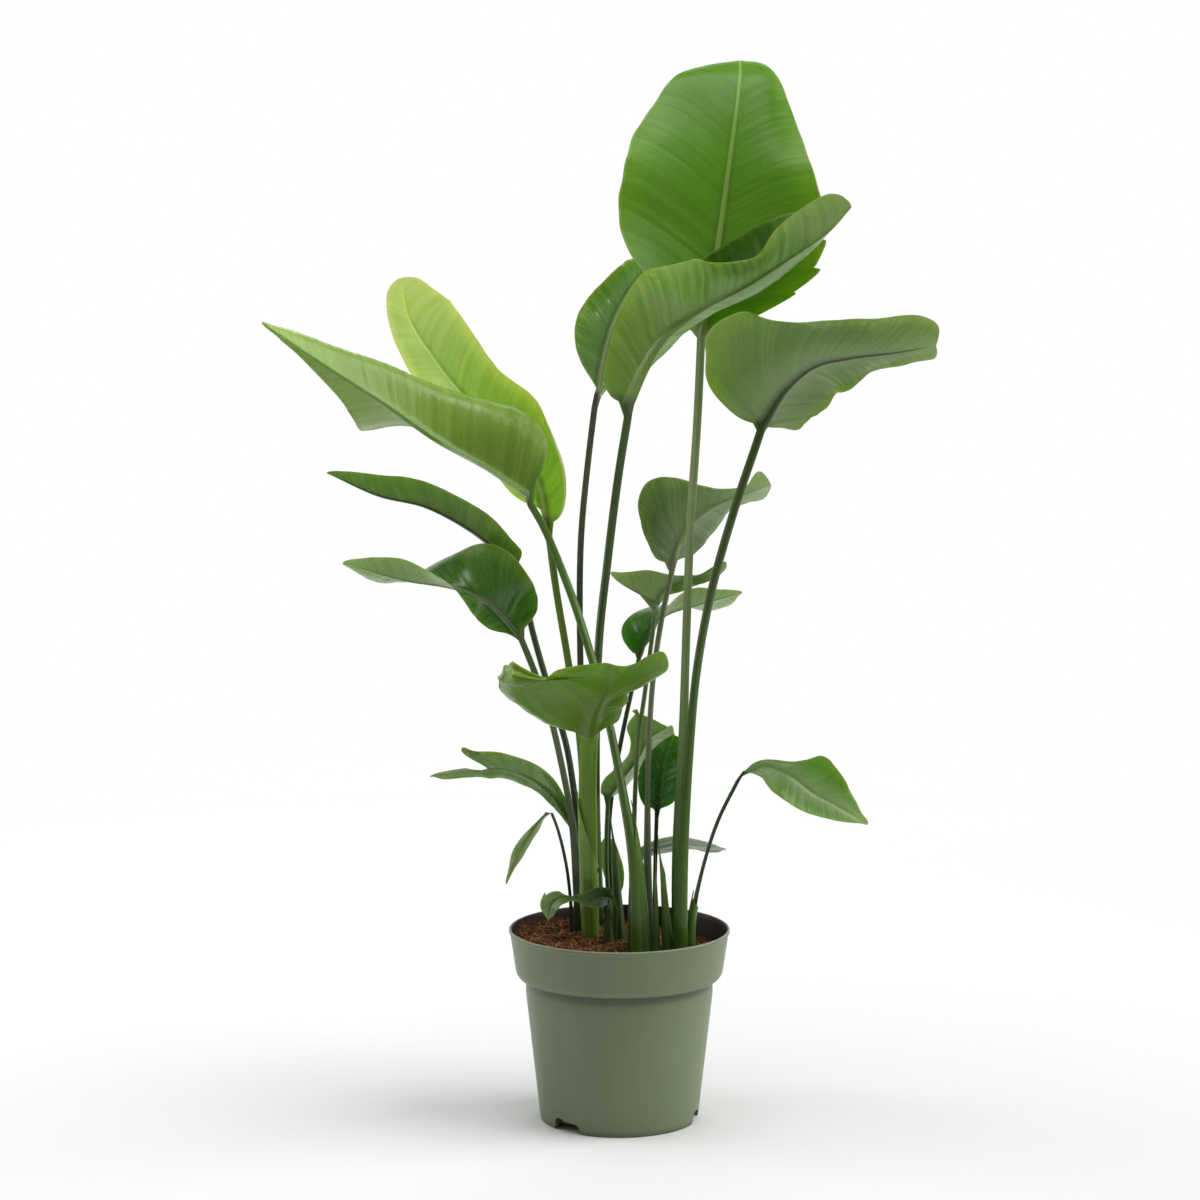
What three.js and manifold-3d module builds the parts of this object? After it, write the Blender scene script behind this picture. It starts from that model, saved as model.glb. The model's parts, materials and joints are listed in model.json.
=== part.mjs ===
// Potted white bird of paradise: a young plant of twenty leaves in a sage-green nursery pot.
// Millimetres, +Z up, the front is -Y. The origin is the middle of the pot's foot, on the ground.
import * as THREE from "three";
import { mergeVertices } from "three/addons/utils/BufferGeometryUtils.js";
import Module from "manifold-3d";

const wasm = await Module();
wasm.setup();

// Driving dimensions of the pot
const POT_HEIGHT = 210;
const RIM_RADIUS = 120;
const COLLAR_FOOT_RADIUS = 112.5;
const COLLAR_DEPTH = 54;
const BODY_TOP_RADIUS = 102.5;
const FOOT_RADIUS = 86;
const WALL = 2;
const FLOOR_UNDERSIDE = 6;
const PAD_RADIUS = 22;
const POT_SIDES = 40;
const DRAIN_HOLES = 6;
const DRAIN_HOLE_RADIUS = 6;
const DRAIN_RING_RADIUS = 55;
const HOLE_SIDES = 12;
const NOTCH_ANGLES = [-126, -6, 114];
const NOTCH_WIDTH = 40;
const NOTCH_HEIGHT = 11;
const NOTCH_DEPTH = 16;

// Driving dimensions of the soil
const SOIL_LEVEL = 192;
const SOIL_RINGS = 7;
const CLEARANCE = 0.3;
const POCKET_FLOOR = 168;
const POCKET_DEPTH = 60;
const POCKET_SIDES = 18;
const POCKET_TURN = 0.07;

// Driving dimensions of every leaf
const BLADE_THICKNESS = 0.9;
const STALK_EDGE = 0.94;
const SWEEP = [0, 0.25, 0.6];
const BASE_SHARE = 0.08;
const MIDRIB_SHARE = 0.2;
const TIP_MIDRIB_HALF = 1.5;
const MARGIN_HALF = { base: 1.4, tip: 1.2 };
const FINE = { shares: [-1, -0.72, -0.42, -0.15, 0, 0.15, 0.42, 0.72, 1], stalk: 8, blade: 13 };
const PLAIN = { shares: [-1, -0.58, -0.15, 0, 0.15, 0.58, 1], stalk: 6, blade: 10 };

const MATERIALS = {
  pot: { color: 0x6f7d5c, roughness: 0.5 },
  soil: { color: 0x4a2a1c, roughness: 0.95 },
  bright: { color: 0x648a2e, roughness: 0.4 },
  young: { color: 0x92b83c, roughness: 0.4 },
  middle: { color: 0x557f36, roughness: 0.42 },
  dark: { color: 0x35562a, roughness: 0.4 },
  pale: { color: 0x84a067, roughness: 0.5 },
};

const material = (name) => new THREE.MeshStandardMaterial({ ...MATERIALS[name], metalness: 0 });
const radians = THREE.MathUtils.degToRad;
const blend = THREE.MathUtils.lerp;
const vector = (point) => new THREE.Vector3(...point);

// A closed mesh as a solid that can be joined and cut, and back again
function solid(geometry) {
  const bare = geometry.clone();
  bare.deleteAttribute("normal");
  bare.deleteAttribute("uv");
  const merged = mergeVertices(bare, 1e-4);
  const vertProperties = new Float32Array(merged.attributes.position.array);
  const triVerts = new Uint32Array(merged.index.array);
  return new wasm.Manifold(new wasm.Mesh({ numProp: 3, vertProperties, triVerts }));
}

function geometryOf(body) {
  const cut = body.getMesh();
  const geometry = new THREE.BufferGeometry();
  geometry.setAttribute("position", new THREE.BufferAttribute(new Float32Array(cut.vertProperties), 3));
  geometry.setIndex(new THREE.BufferAttribute(new Uint32Array(cut.triVerts), 1));
  geometry.computeVertexNormals();
  return geometry;
}

// A profile of [radius, height] points turned about the Z axis
function turned(profile, sides) {
  const points = profile.map(([radius, height]) => new THREE.Vector2(radius, height));
  return new THREE.LatheGeometry(points, sides).rotateX(Math.PI / 2);
}

// Pot: collar with a rolled rim, tapered wall, raised floor on a foot ring and a middle pad
function makePot() {
  const collarFoot = POT_HEIGHT - COLLAR_DEPTH;
  const profile = [
    [0, 0],
    [PAD_RADIUS, 0],
    [PAD_RADIUS + 2, FLOOR_UNDERSIDE],
    [FOOT_RADIUS - 4, FLOOR_UNDERSIDE],
    [FOOT_RADIUS - 3, 0],
    [FOOT_RADIUS - 0.5, 0],
    [FOOT_RADIUS, 1.5],
    [BODY_TOP_RADIUS, collarFoot - 4],
    [BODY_TOP_RADIUS + 2, collarFoot - 1],
    [COLLAR_FOOT_RADIUS - 3, collarFoot],
    [COLLAR_FOOT_RADIUS, collarFoot + 4],
    [RIM_RADIUS - 1, POT_HEIGHT - 4],
    [RIM_RADIUS, POT_HEIGHT - 2],
    [RIM_RADIUS - 0.6, POT_HEIGHT],
    [RIM_RADIUS - 2.4, POT_HEIGHT],
    [RIM_RADIUS - WALL - 1, POT_HEIGHT - 4],
    [COLLAR_FOOT_RADIUS - WALL, collarFoot + 5],
    [BODY_TOP_RADIUS - WALL, collarFoot + 1],
    [BODY_TOP_RADIUS - WALL - 0.6, collarFoot - 4],
    [FOOT_RADIUS - WALL, FLOOR_UNDERSIDE + WALL],
    [0, FLOOR_UNDERSIDE + WALL],
  ];
  let pot = solid(turned(profile, POT_SIDES));
  for (let k = 0; k < DRAIN_HOLES; k++) {
    const angle = (2 * Math.PI * k) / DRAIN_HOLES;
    const hole = new THREE.CylinderGeometry(DRAIN_HOLE_RADIUS, DRAIN_HOLE_RADIUS, 4 * WALL, HOLE_SIDES);
    hole.rotateX(Math.PI / 2);
    hole.translate(DRAIN_RING_RADIUS, 0, FLOOR_UNDERSIDE + WALL / 2);
    hole.rotateZ(angle);
    pot = pot.subtract(solid(hole));
  }
  for (const degrees of NOTCH_ANGLES) {
    const notch = new THREE.Shape();
    notch.moveTo(-NOTCH_WIDTH / 2, -1);
    notch.lineTo(NOTCH_WIDTH / 2, -1);
    notch.lineTo(NOTCH_WIDTH / 2 - 4, NOTCH_HEIGHT);
    notch.lineTo(-NOTCH_WIDTH / 2 + 4, NOTCH_HEIGHT);
    const cutter = new THREE.ExtrudeGeometry(notch, { depth: NOTCH_DEPTH, bevelEnabled: false });
    cutter.rotateX(Math.PI / 2);
    cutter.rotateZ(Math.PI / 2);
    cutter.translate(FOOT_RADIUS + 4 - NOTCH_DEPTH, 0, 0);
    cutter.rotateZ(radians(degrees));
    pot = pot.subtract(solid(cutter));
  }
  return geometryOf(pot);
}

// Soil: a slightly uneven peat surface that is higher at the left, filling the pot to its inner wall
function soilHeight(x, y) {
  const slope = -x / 30;
  const lumps = 1.6 * Math.sin(x / 11 + 1) * Math.cos(y / 13) + 1.1 * Math.sin(x / 6 - y / 8);
  return slope + lumps;
}

function makeSoil() {
  const collarFoot = POT_HEIGHT - COLLAR_DEPTH;
  const collarSlope = (RIM_RADIUS - COLLAR_FOOT_RADIUS) / COLLAR_DEPTH;
  const edge = COLLAR_FOOT_RADIUS - WALL + collarSlope * (SOIL_LEVEL - collarFoot) - 4 * CLEARANCE;
  const profile = [
    [0, FLOOR_UNDERSIDE + WALL + CLEARANCE],
    [FOOT_RADIUS - WALL - CLEARANCE, FLOOR_UNDERSIDE + WALL + CLEARANCE],
    [BODY_TOP_RADIUS - WALL - 3 * CLEARANCE, collarFoot - 4],
    [BODY_TOP_RADIUS - WALL - 2 * CLEARANCE, collarFoot + 2],
    [COLLAR_FOOT_RADIUS - WALL - 5 * CLEARANCE, collarFoot + 6],
    [edge, SOIL_LEVEL],
  ];
  for (let k = 1; k < SOIL_RINGS; k++) {
    profile.push([(edge - 4) * (1 - k / SOIL_RINGS), SOIL_LEVEL]);
  }
  profile.push([0, SOIL_LEVEL]);
  const geometry = turned(profile, POT_SIDES);
  const places = geometry.attributes.position;
  for (let k = 0; k < places.count; k++) {
    if (places.getZ(k) > SOIL_LEVEL - 1) {
      const lift = soilHeight(places.getX(k), places.getY(k));
      const radius = Math.hypot(places.getX(k), places.getY(k));
      const grow = radius > edge - 1 ? (radius + collarSlope * lift) / radius : 1;
      places.setXYZ(k, places.getX(k) * grow, places.getY(k) * grow, SOIL_LEVEL + lift);
    }
  }
  let soil = solid(geometry);
  for (const { middle, half } of POCKETS) {
    const pocket = new THREE.CylinderGeometry(1, 1, POCKET_DEPTH, POCKET_SIDES);
    pocket.rotateX(Math.PI / 2);
    pocket.rotateZ(POCKET_TURN);
    pocket.scale(half[0], half[1], 1);
    pocket.translate(middle[0], middle[1], POCKET_FLOOR + POCKET_DEPTH / 2);
    soil = soil.subtract(solid(pocket));
  }
  return geometryOf(soil);
}

// A value read smoothly from a list of values at even steps of t, from 0 to 1
function along(values, t) {
  const place = Math.min(t, 0.9999) * (values.length - 1);
  const k = Math.floor(place);
  const at = (i) => values[THREE.MathUtils.clamp(i, 0, values.length - 1)];
  const [a, b, c, d] = [k - 1, k, k + 1, k + 2].map(at);
  const f = place - k;
  return b + 0.5 * f * (c - a + f * (2 * a - 5 * b + 4 * c - d + f * (3 * (b - c) + d - a)));
}

function facing(directions, t) {
  return new THREE.Vector3(...[0, 1, 2].map((axis) => along(directions.map((d) => d[axis]), t)));
}

// The midrib's own axes: forward to the tip, up out of the upper face, and side to the right
function frameAt(curve, t, hint) {
  const forward = curve.getTangentAt(t);
  const up = hint.clone().addScaledVector(forward, -hint.dot(forward)).normalize();
  const side = new THREE.Vector3().crossVectors(forward, up);
  return { forward, up, side };
}

// Sheath and stalk: rings of half width, depth behind and depth in front, from the foot to the blade
function stalkRings(leaf, shares, steps) {
  const route = new THREE.CatmullRomCurve3(leaf.stalk.map(vector));
  const start = new THREE.Vector3(0, Math.sign(leaf.face[0][1]), 0);
  const rings = [];
  for (let j = 0; j <= steps; j++) {
    const t = j / steps;
    const hint = start.clone().lerp(vector(leaf.face[0]), THREE.MathUtils.smoothstep(t, 0.55, 1));
    const { up, side } = frameAt(route, t, hint);
    const open = THREE.MathUtils.smoothstep(t, 0, leaf.sheath ?? 0.5);
    const [half, back, front] = [0, 1, 2].map((k) => blend(leaf.foot[k], leaf.neck[k], open));
    const upper = [];
    const lower = [];
    for (let i = 0; i < shares.length; i++) {
      const x = half * Math.sin((Math.PI / 2) * STALK_EDGE * blend(-1, 1, i / (shares.length - 1)));
      const bow = Math.sqrt(1 - (x / half) ** 2);
      const place = route.getPointAt(t).addScaledVector(side, x);
      upper.push(place.clone().addScaledVector(up, front * bow));
      lower.push(place.clone().addScaledVector(up, -back * bow));
    }
    rings.push([...upper, ...lower]);
  }
  // The foot is cut level, so it stands flat in its pocket
  rings[0].forEach((point) => point.setZ(leaf.stalk[0][2]));
  return rings;
}

// Blade: each half rises from the rib by its lift and bends on by its curl, with a thick midrib below
function bladeRings(leaf, shares, steps) {
  const rib = new THREE.CatmullRomCurve3(leaf.rib.map(vector));
  const length = rib.getLength();
  const [neckHalf, neckBack, neckFront] = leaf.neck;
  const rings = [];
  for (let j = 1; j <= steps; j++) {
    const step = blend(BASE_SHARE, 1, j / steps);
    const t = 0.5 - 0.5 * Math.cos(Math.PI * step);
    const bulge = (neckBack + neckFront) * Math.pow(1 - t, 1.3);
    const bulgeHalf = blend(neckHalf, TIP_MIDRIB_HALF, t);
    const upper = [];
    const lower = [];
    for (const share of shares) {
      const half = share < 0 ? leaf.left : leaf.right;
      const sign = share < 0 ? -1 : 1;
      const edge = along(half.widths, step) + blend(MARGIN_HALF.base, MARGIN_HALF.tip, j / steps);
      let out = Math.abs(share) * edge;
      if (Math.abs(share) < MIDRIB_SHARE) {
        out = Math.min(out, 0.5 * bulgeHalf) + 3 * Math.abs(share);
      }
      const place = t * length + out * along(leaf.sweep ?? SWEEP, t);
      const at = THREE.MathUtils.clamp(place / length, 0, 1);
      const { forward, up, side } = frameAt(rib, at, facing(leaf.face, at));
      const lift = radians(along(half.lift, at));
      const turn = radians(along(half.curl, at)) / 100 + 1e-6;
      const bend = lift + turn * out;
      const point = rib.getPointAt(at).addScaledVector(forward, place - at * length);
      point.addScaledVector(side, (sign * (Math.sin(bend) - Math.sin(lift))) / turn);
      point.addScaledVector(up, (Math.cos(lift) - Math.cos(bend)) / turn);
      const normal = up.clone().multiplyScalar(Math.cos(bend)).addScaledVector(side, -sign * Math.sin(bend));
      const [height, count, phase] = leaf.wave;
      const ripple = height * Math.sin(Math.PI * at) * share ** 2;
      point.addScaledVector(normal, ripple * Math.sin(2 * Math.PI * count * at + phase * (2 + sign)));
      upper.push(point);
      const thick = BLADE_THICKNESS + bulge * Math.exp(-((out / bulgeHalf) ** 2));
      lower.push(point.clone().addScaledVector(normal, -thick));
    }
    rings.push([...upper, ...lower]);
  }
  return rings;
}

// Leaf: one closed skin round sheath, stalk, midrib and blade
function makeLeaf(leaf) {
  const { shares, stalk, blade } = leaf.fine ? FINE : PLAIN;
  return skinned([...stalkRings(leaf, shares, stalk), ...bladeRings(leaf, shares, blade)], shares.length);
}

// Rings of an upper and a lower row joined to one closed skin, both faces split along like diagonals
function skinned(rings, row) {
  const size = 2 * row;
  const faces = [];
  for (let j = 0; j + 1 < rings.length; j++) {
    const here = j * size;
    const next = here + size;
    for (let i = 0; i + 1 < row; i++) {
      faces.push(here + i, here + i + 1, next + i + 1, here + i, next + i + 1, next + i);
      const [a, b] = [here + row + i, next + row + i];
      faces.push(a, b + 1, a + 1, a, b, b + 1);
    }
    const [left, right] = [here, here + row - 1];
    faces.push(left, left + size, left + size + row, left, left + size + row, left + row);
    faces.push(right, right + size + row, right + size, right, right + row, right + size + row);
  }
  const last = (rings.length - 1) * size;
  for (let i = 0; i + 1 < row; i++) {
    faces.push(i, i + row, i + row + 1, i, i + row + 1, i + 1);
    faces.push(last + i, last + i + 1, last + row + i + 1, last + i, last + row + i + 1, last + row + i);
  }
  const geometry = new THREE.BufferGeometry();
  const numbers = rings.flat().flatMap((point) => point.toArray());
  geometry.setAttribute("position", new THREE.Float32BufferAttribute(numbers, 3));
  geometry.setIndex(faces);
  geometry.computeVertexNormals();
  return geometry;
}

// Every leaf. stalk: the route of sheath and stalk, from the foot in its pocket to the blade.
// foot and neck: half width, depth behind and depth in front at the two ends of the stalk.
// sheath: the share of the stalk over which the foot narrows to the neck, one half if not given.
// rib: the route of the midrib. The lists below are read at even steps from its base to its tip.
// face: where the upper face looks. widths: how far each half reaches from the rib.
// lift: degrees by which the half is raised. curl: degrees by which 100 mm of it bends on.
// sweep: how far the side veins lean to the tip for each millimetre out.
// wave: height of the margin's waves, how many, and where they start.
const LEAVES = [
  {
    name: "leaf_tall_upright",
    paint: "middle",
    fine: true,
    stalk: [
      [66, -24, 168.4], [64, -28, 301], [68, -26, 421], [71, -18, 527], [76, -4, 655], [83, 8, 761],
      [87, 16, 848],
    ],
    foot: [9, 6, 4],
    neck: [4.5, 7, -1],
    rib: [
      [87, 17, 850], [99, 30, 909], [110, 48, 978], [120, 68, 1048], [127, 88, 1102], [131, 108, 1133],
      [133, 130, 1143],
    ],
    face: [[0.1, -1, 0.1], [0, -1, 0.3], [0, -0.6, 1]],
    left: { widths: [0, 40, 104, 113, 96, 68, 36, 0], lift: [15, 12, 8, 0, -10], curl: [10, 0, -10] },
    right: { widths: [0, 40, 110, 106, 77, 50, 25, 0], lift: [15, 12, 8, 0, -10], curl: [10, 0, -10] },
    wave: [4, 2.5, 0],
    sweep: [0.1, 0.2, 0.3],
  },
  {
    name: "leaf_front_trough",
    paint: "middle",
    fine: true,
    stalk: [
      [-22, 75, 168.4], [-26, 66, 300], [-26, 55, 388], [-22, 46, 519], [-13, 38, 606], [-2, 24, 705],
      [7, 12, 765],
    ],
    foot: [7, 5, 4],
    neck: [4.5, 7, -1],
    rib: [
      [9, 7, 779], [29, -12, 812], [74, -40, 853], [126, -62, 897], [182, -80, 936], [216, -88, 960],
      [236, -92, 993],
    ],
    face: [[-0.5, 0.3, 0.8], [-0.5, 0.3, 0.8], [-0.4, 0.2, 0.9]],
    left: { widths: [0, 40, 58, 54, 50, 44, 22, 0], lift: [60, 60, 60, 60, 50], curl: [10, 10, 0] },
    right: { widths: [0, 42, 68, 86, 60, 38, 20, 0], lift: [78, 75, 22, 40, 55], curl: [15, 10, 0] },
    wave: [3, 3, 1],
    sweep: [0.1, 0.3, 0.5],
  },
  {
    name: "leaf_back_trough",
    paint: "dark",
    fine: false,
    stalk: [
      [-30, 84, 168.4], [-32, 76, 338], [-40, 82, 425], [-43, 90, 513], [-42, 94, 623], [-34, 94, 711],
      [-27, 92, 769],
    ],
    foot: [6, 4.5, 4],
    neck: [3.5, 5.5, -1],
    rib: [[-24, 92, 781], [-19, 98, 815], [-8, 106, 858], [12, 116, 896], [39, 128, 927]],
    face: [[-0.2, -0.9, 0.3], [-0.2, -0.9, 0.3], [-0.2, -0.9, 0.3]],
    left: { widths: [0, 14, 30, 36, 34, 28, 16, 0], lift: [20, 10, 5], curl: [10, 10, 0] },
    right: { widths: [0, 14, 32, 42, 40, 30, 18, 0], lift: [40, 30, 20], curl: [10, 10, 0] },
    wave: [2, 2, 0],
  },
  {
    name: "leaf_right_large",
    paint: "middle",
    fine: true,
    stalk: [
      [70, -46, 168.4], [74, -44, 300], [78, -34, 421], [82, -38, 498], [97, -50, 585], [121, -62, 676],
      [138, -70, 730], [146, -73, 755],
    ],
    foot: [8, 6, 4],
    neck: [4.5, 6.5, -1],
    rib: [
      [149, -74, 762], [172, -84, 800], [201, -94, 824], [237, -102, 833], [281, -104, 838],
      [326, -98, 845],
    ],
    face: [[-0.3, 0.75, 0.6], [-0.3, 0.75, 0.6], [-0.1, 0.7, 0.7]],
    left: { widths: [0, 48, 64, 58, 36, 22, 10, 0], lift: [5, 5, 5], curl: [0, 0, 0] },
    right: { widths: [0, 88, 96, 58, 44, 42, 26, 0], lift: [20, 5, 0, 0, 0], curl: [10, 0, 0] },
    wave: [3, 3, 1],
    sweep: [-0.15, 0.55, 0.4, 0.35, 0.4],
  },
  {
    name: "leaf_left_young",
    paint: "young",
    fine: true,
    stalk: [
      [-32, 46, 168.4], [-36, 45, 290], [-43, 44, 409], [-56, 58, 495], [-69, 72, 571], [-77, 80, 630],
    ],
    foot: [6.5, 4.5, 4],
    neck: [4, 6, -1],
    rib: [
      [-79, 82, 642], [-91, 92, 692], [-122, 106, 736], [-170, 118, 780], [-206, 128, 824],
      [-233, 138, 868], [-240, 146, 909],
    ],
    face: [[0, -1, 0.2], [0, -1, 0.3], [0, -1, 0.3]],
    left: { widths: [0, 20, 38, 42, 35, 25, 14, 0], lift: [30, 20, 5], curl: [10, 5, 0] },
    right: { widths: [0, 22, 40, 46, 46, 34, 18, 0], lift: [30, 20, 5], curl: [10, 5, 0] },
    wave: [1.5, 2, 0],
  },
  {
    name: "leaf_left_large",
    paint: "middle",
    fine: true,
    stalk: [
      [26, -52, 168.4], [23, -42, 293], [9, -24, 366], [-8, 2, 438], [-30, 22, 506], [-53, 34, 575],
      [-79, 40, 642], [-94, 40, 669],
    ],
    foot: [7.5, 5, 4],
    neck: [4.5, 6.5, -1],
    rib: [
      [-99, 40, 676], [-140, 34, 705], [-193, 24, 737], [-251, 12, 778], [-319, 0, 823],
      [-379, -10, 866],
    ],
    face: [[0.3, 0.3, 0.9], [0.3, 0.8, 0.5], [0.2, 0.97, 0.1]],
    left: {
      widths: [0, 50, 62, 58, 50, 38, 12, 0], lift: [70, 65, 80, 85, 90], curl: [10, 10, 20, 25, 20],
    },
    right: { widths: [0, 40, 60, 66, 40, 12, 5, 0], lift: [75, 75, 20, 5, 10], curl: [10, 10, 0] },
    wave: [2, 2, 0],
    sweep: [0, 0.15, 0.25],
  },
  {
    name: "leaf_left_narrow",
    paint: "middle",
    fine: false,
    stalk: [
      [-24, 36, 168.4], [-36, 38, 260], [-48, 40, 343], [-58, 44, 404], [-78, 50, 469], [-93, 58, 523],
      [-104, 62, 572], [-111, 60, 588],
    ],
    foot: [6, 4.5, 4],
    neck: [3.5, 5, -1],
    rib: [
      [-115, 56, 599], [-130, 48, 614], [-159, 34, 639], [-209, 20, 667], [-259, 10, 680],
      [-313, 2, 705],
    ],
    face: [[0.3, 0.4, 0.85], [0.3, 0.5, 0.8], [0.1, 0.7, 0.7]],
    left: { widths: [0, 16, 26, 28, 22, 16, 6, 0], lift: [50, 45, 40], curl: [10, 10, 0] },
    right: { widths: [0, 22, 30, 30, 24, 16, 6, 0], lift: [60, 50, 40], curl: [10, 10, 0] },
    wave: [1.5, 2, 0],
  },
  {
    name: "leaf_left_twisted",
    paint: "dark",
    fine: true,
    stalk: [
      [-42, 33, 168.4], [-46, 30, 250], [-52, 28, 324], [-64, 29, 390], [-77, 30, 444], [-95, 28, 494],
      [-106, 26, 522],
    ],
    foot: [6, 4.5, 4],
    neck: [3.5, 5, -1],
    rib: [
      [-110, 24, 528], [-126, 18, 547], [-146, 12, 567], [-177, 6, 581], [-230, 0, 590],
      [-296, -8, 609],
    ],
    face: [[-0.3, -0.9, 0.4], [-0.3, -0.85, 0.4], [-0.1, 0, 1], [0.1, 0.6, 0.75], [0.1, 0.7, 0.7]],
    left: { widths: [0, 9, 16, 22, 28, 20, 7, 0], lift: [10, 20, 10], curl: [10, 10, 0] },
    right: { widths: [0, 34, 54, 56, 34, 20, 7, 0], lift: [10, 20, 10], curl: [10, 10, 0] },
    wave: [1.5, 2, 0],
  },
  {
    name: "leaf_inner_cupped",
    paint: "dark",
    fine: false,
    stalk: [
      [32, -34, 168.4], [30, -28, 291], [31, -14, 397], [36, 4, 481], [45, 18, 544], [56, 28, 595],
    ],
    foot: [6, 4.5, 4],
    neck: [3, 4.5, -0.8],
    rib: [[58, 30, 605], [66, 38, 628], [79, 44, 648], [100, 50, 663], [129, 54, 675], [165, 58, 687]],
    face: [[-0.3, 0.85, 0.4], [-0.3, 0.85, 0.4], [0, 0.5, 0.85]],
    left: { widths: [0, 18, 28, 34, 26, 20, 13, 0], lift: [20, 20, 10], curl: [10, 10, 0] },
    right: { widths: [0, 34, 58, 42, 22, 14, 10, 0], lift: [20, 15, 10], curl: [10, 10, 0] },
    wave: [1.5, 2, 0],
    sweep: [0, 0.3, 0.1, 0.15, 0.1],
  },
  {
    name: "leaf_inner_upper",
    paint: "pale",
    fine: false,
    stalk: [
      [12, -34, 168.4], [14, -22, 270], [20, 12, 409], [28, 24, 467], [35, 34, 521], [39, 46, 550],
    ],
    foot: [4.5, 3.5, 3],
    neck: [2.5, 3.5, -0.6],
    rib: [[39, 56, 557], [47, 60, 572], [72, 64, 583], [99, 66, 590], [126, 68, 601]],
    face: [[-0.2, 0.8, 0.5], [-0.2, 0.9, 0.3], [0, 0.6, 0.8]],
    left: { widths: [0, 6, 10, 10, 8, 6, 2, 0], lift: [20, 20, 10], curl: [10, 10, 0] },
    right: { widths: [0, 45, 34, 18, 13, 10, 3, 0], lift: [10, 10, 10], curl: [10, 10, 0] },
    wave: [1.5, 2, 0],
    sweep: [-0.15, 0.1, 0.4],
  },
  {
    name: "leaf_inner_lower",
    paint: "dark",
    fine: false,
    stalk: [[-6, 84, 168.4], [-12, 76, 280], [-8, 72, 343], [3, 70, 408], [14, 68, 462], [21, 66, 495]],
    foot: [4.5, 3.5, 3],
    neck: [2.5, 3.5, -0.6],
    rib: [[23, 64, 501], [32, 68, 525], [50, 72, 543], [89, 76, 555], [135, 80, 567]],
    face: [[-0.4, -0.7, 0.6], [-0.3, 0.2, 0.9], [0, 0.6, 0.8]],
    left: { widths: [0, 18, 32, 34, 28, 20, 8, 0], lift: [10, 10, 10], curl: [10, 10, 0] },
    right: { widths: [0, 12, 22, 24, 20, 14, 5, 0], lift: [20, 20, 10], curl: [10, 10, 0] },
    wave: [1.5, 2, 0],
  },
  {
    name: "leaf_front_centre",
    paint: "bright",
    fine: true,
    stalk: [[-31, 20, 168.4], [-33, 19, 259], [-34, 13, 326], [-34, 1, 384], [-33, -10, 416]],
    foot: [12.5, 6, 5],
    neck: [8, 6, 0],
    sheath: 1.4,
    rib: [[-31, -14, 424], [-26, -40, 452], [-24, -68, 480], [-28, -92, 503], [-33, -108, 520]],
    face: [[0, 0.7, 0.7], [0, 0.7, 0.7], [0, 0.6, 0.8]],
    left: { widths: [0, 22, 38, 52, 78, 30, 12, 0], lift: [25, 20, 15], curl: [20, 20, 0] },
    right: { widths: [0, 62, 106, 72, 48, 32, 12, 0], lift: [12, 8, 0], curl: [10, 10, 0] },
    wave: [3, 2, 0],
  },
  {
    name: "leaf_centre_small",
    paint: "pale",
    fine: false,
    stalk: [[-8, 70, 168.4], [-9, 67, 205], [-13, 58, 251], [-14, 55, 296], [-13, 52, 336]],
    foot: [4.5, 3.5, 3],
    neck: [2.5, 3.5, -0.6],
    rib: [[-12, 50, 346], [3, 46, 367], [20, 42, 389], [33, 38, 412], [57, 34, 427]],
    face: [[-0.5, 0.6, 0.6], [-0.4, 0.7, 0.6], [-0.2, 0.7, 0.7]],
    left: { widths: [0, 10, 22, 26, 24, 18, 7, 0], lift: [20, 20, 10], curl: [10, 10, 0] },
    right: { widths: [0, 12, 24, 30, 28, 22, 8, 0], lift: [20, 20, 10], curl: [10, 10, 0] },
    wave: [1.5, 2, 0],
  },
  {
    name: "leaf_centre_dark",
    paint: "dark",
    fine: false,
    stalk: [[38, -8, 168.4], [38, -14, 244], [39, -12, 298], [40, -8, 332]],
    foot: [4, 3, 2.5],
    neck: [2.2, 3, -0.6],
    rib: [[41, -6, 340], [42, -2, 362], [46, 4, 388], [59, 10, 420]],
    face: [[-0.3, -0.9, 0.2], [-0.3, -0.9, 0.2], [-0.3, -0.9, 0.2]],
    left: { widths: [0, 8, 14, 17, 17, 13, 8, 0], lift: [20, 20, 10], curl: [10, 10, 0] },
    right: { widths: [0, 8, 14, 17, 17, 13, 8, 0], lift: [20, 20, 10], curl: [10, 10, 0] },
    wave: [1, 2, 0],
  },
  {
    name: "leaf_low_left",
    paint: "middle",
    fine: false,
    stalk: [[-46, 48, 168.4], [-44, 58, 250], [-45, 61, 283], [-50, 60, 306]],
    foot: [4.5, 3.5, 3],
    neck: [2.5, 3.5, -0.6],
    rib: [
      [-52, 58, 311], [-69, 50, 341], [-97, 42, 366], [-130, 34, 379], [-162, 28, 376], [-206, 24, 372],
    ],
    face: [[0.2, -0.6, 0.75], [0.2, -0.6, 0.75], [0.1, -0.4, 0.9]],
    left: { widths: [0, 8, 14, 18, 14, 6, 3, 0], lift: [20, 10, 0], curl: [10, 10, 0] },
    right: { widths: [0, 10, 18, 20, 34, 12, 4, 0], lift: [10, 0, 0], curl: [10, 10, 0] },
    wave: [1.5, 2, 0],
  },
  {
    name: "leaf_low_hanging",
    paint: "pale",
    fine: false,
    stalk: [[-50, 25, 168.4], [-54, 28, 243], [-59, 30, 279], [-67, 31, 311], [-74, 31, 330]],
    foot: [3, 2.5, 2],
    neck: [1.8, 2.2, -0.4],
    rib: [[-78, 28, 332], [-88, 22, 322], [-104, 16, 297], [-123, 10, 256]],
    face: [[-0.7, -0.6, 0.3], [-0.7, -0.6, 0.3], [-0.7, -0.6, 0.3]],
    left: { widths: [0, 4, 8, 9, 8, 5, 1, 0], lift: [20, 10, 0], curl: [10, 10, 0] },
    right: { widths: [0, 4, 8, 9, 8, 5, 1, 0], lift: [20, 10, 0], curl: [10, 10, 0] },
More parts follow.
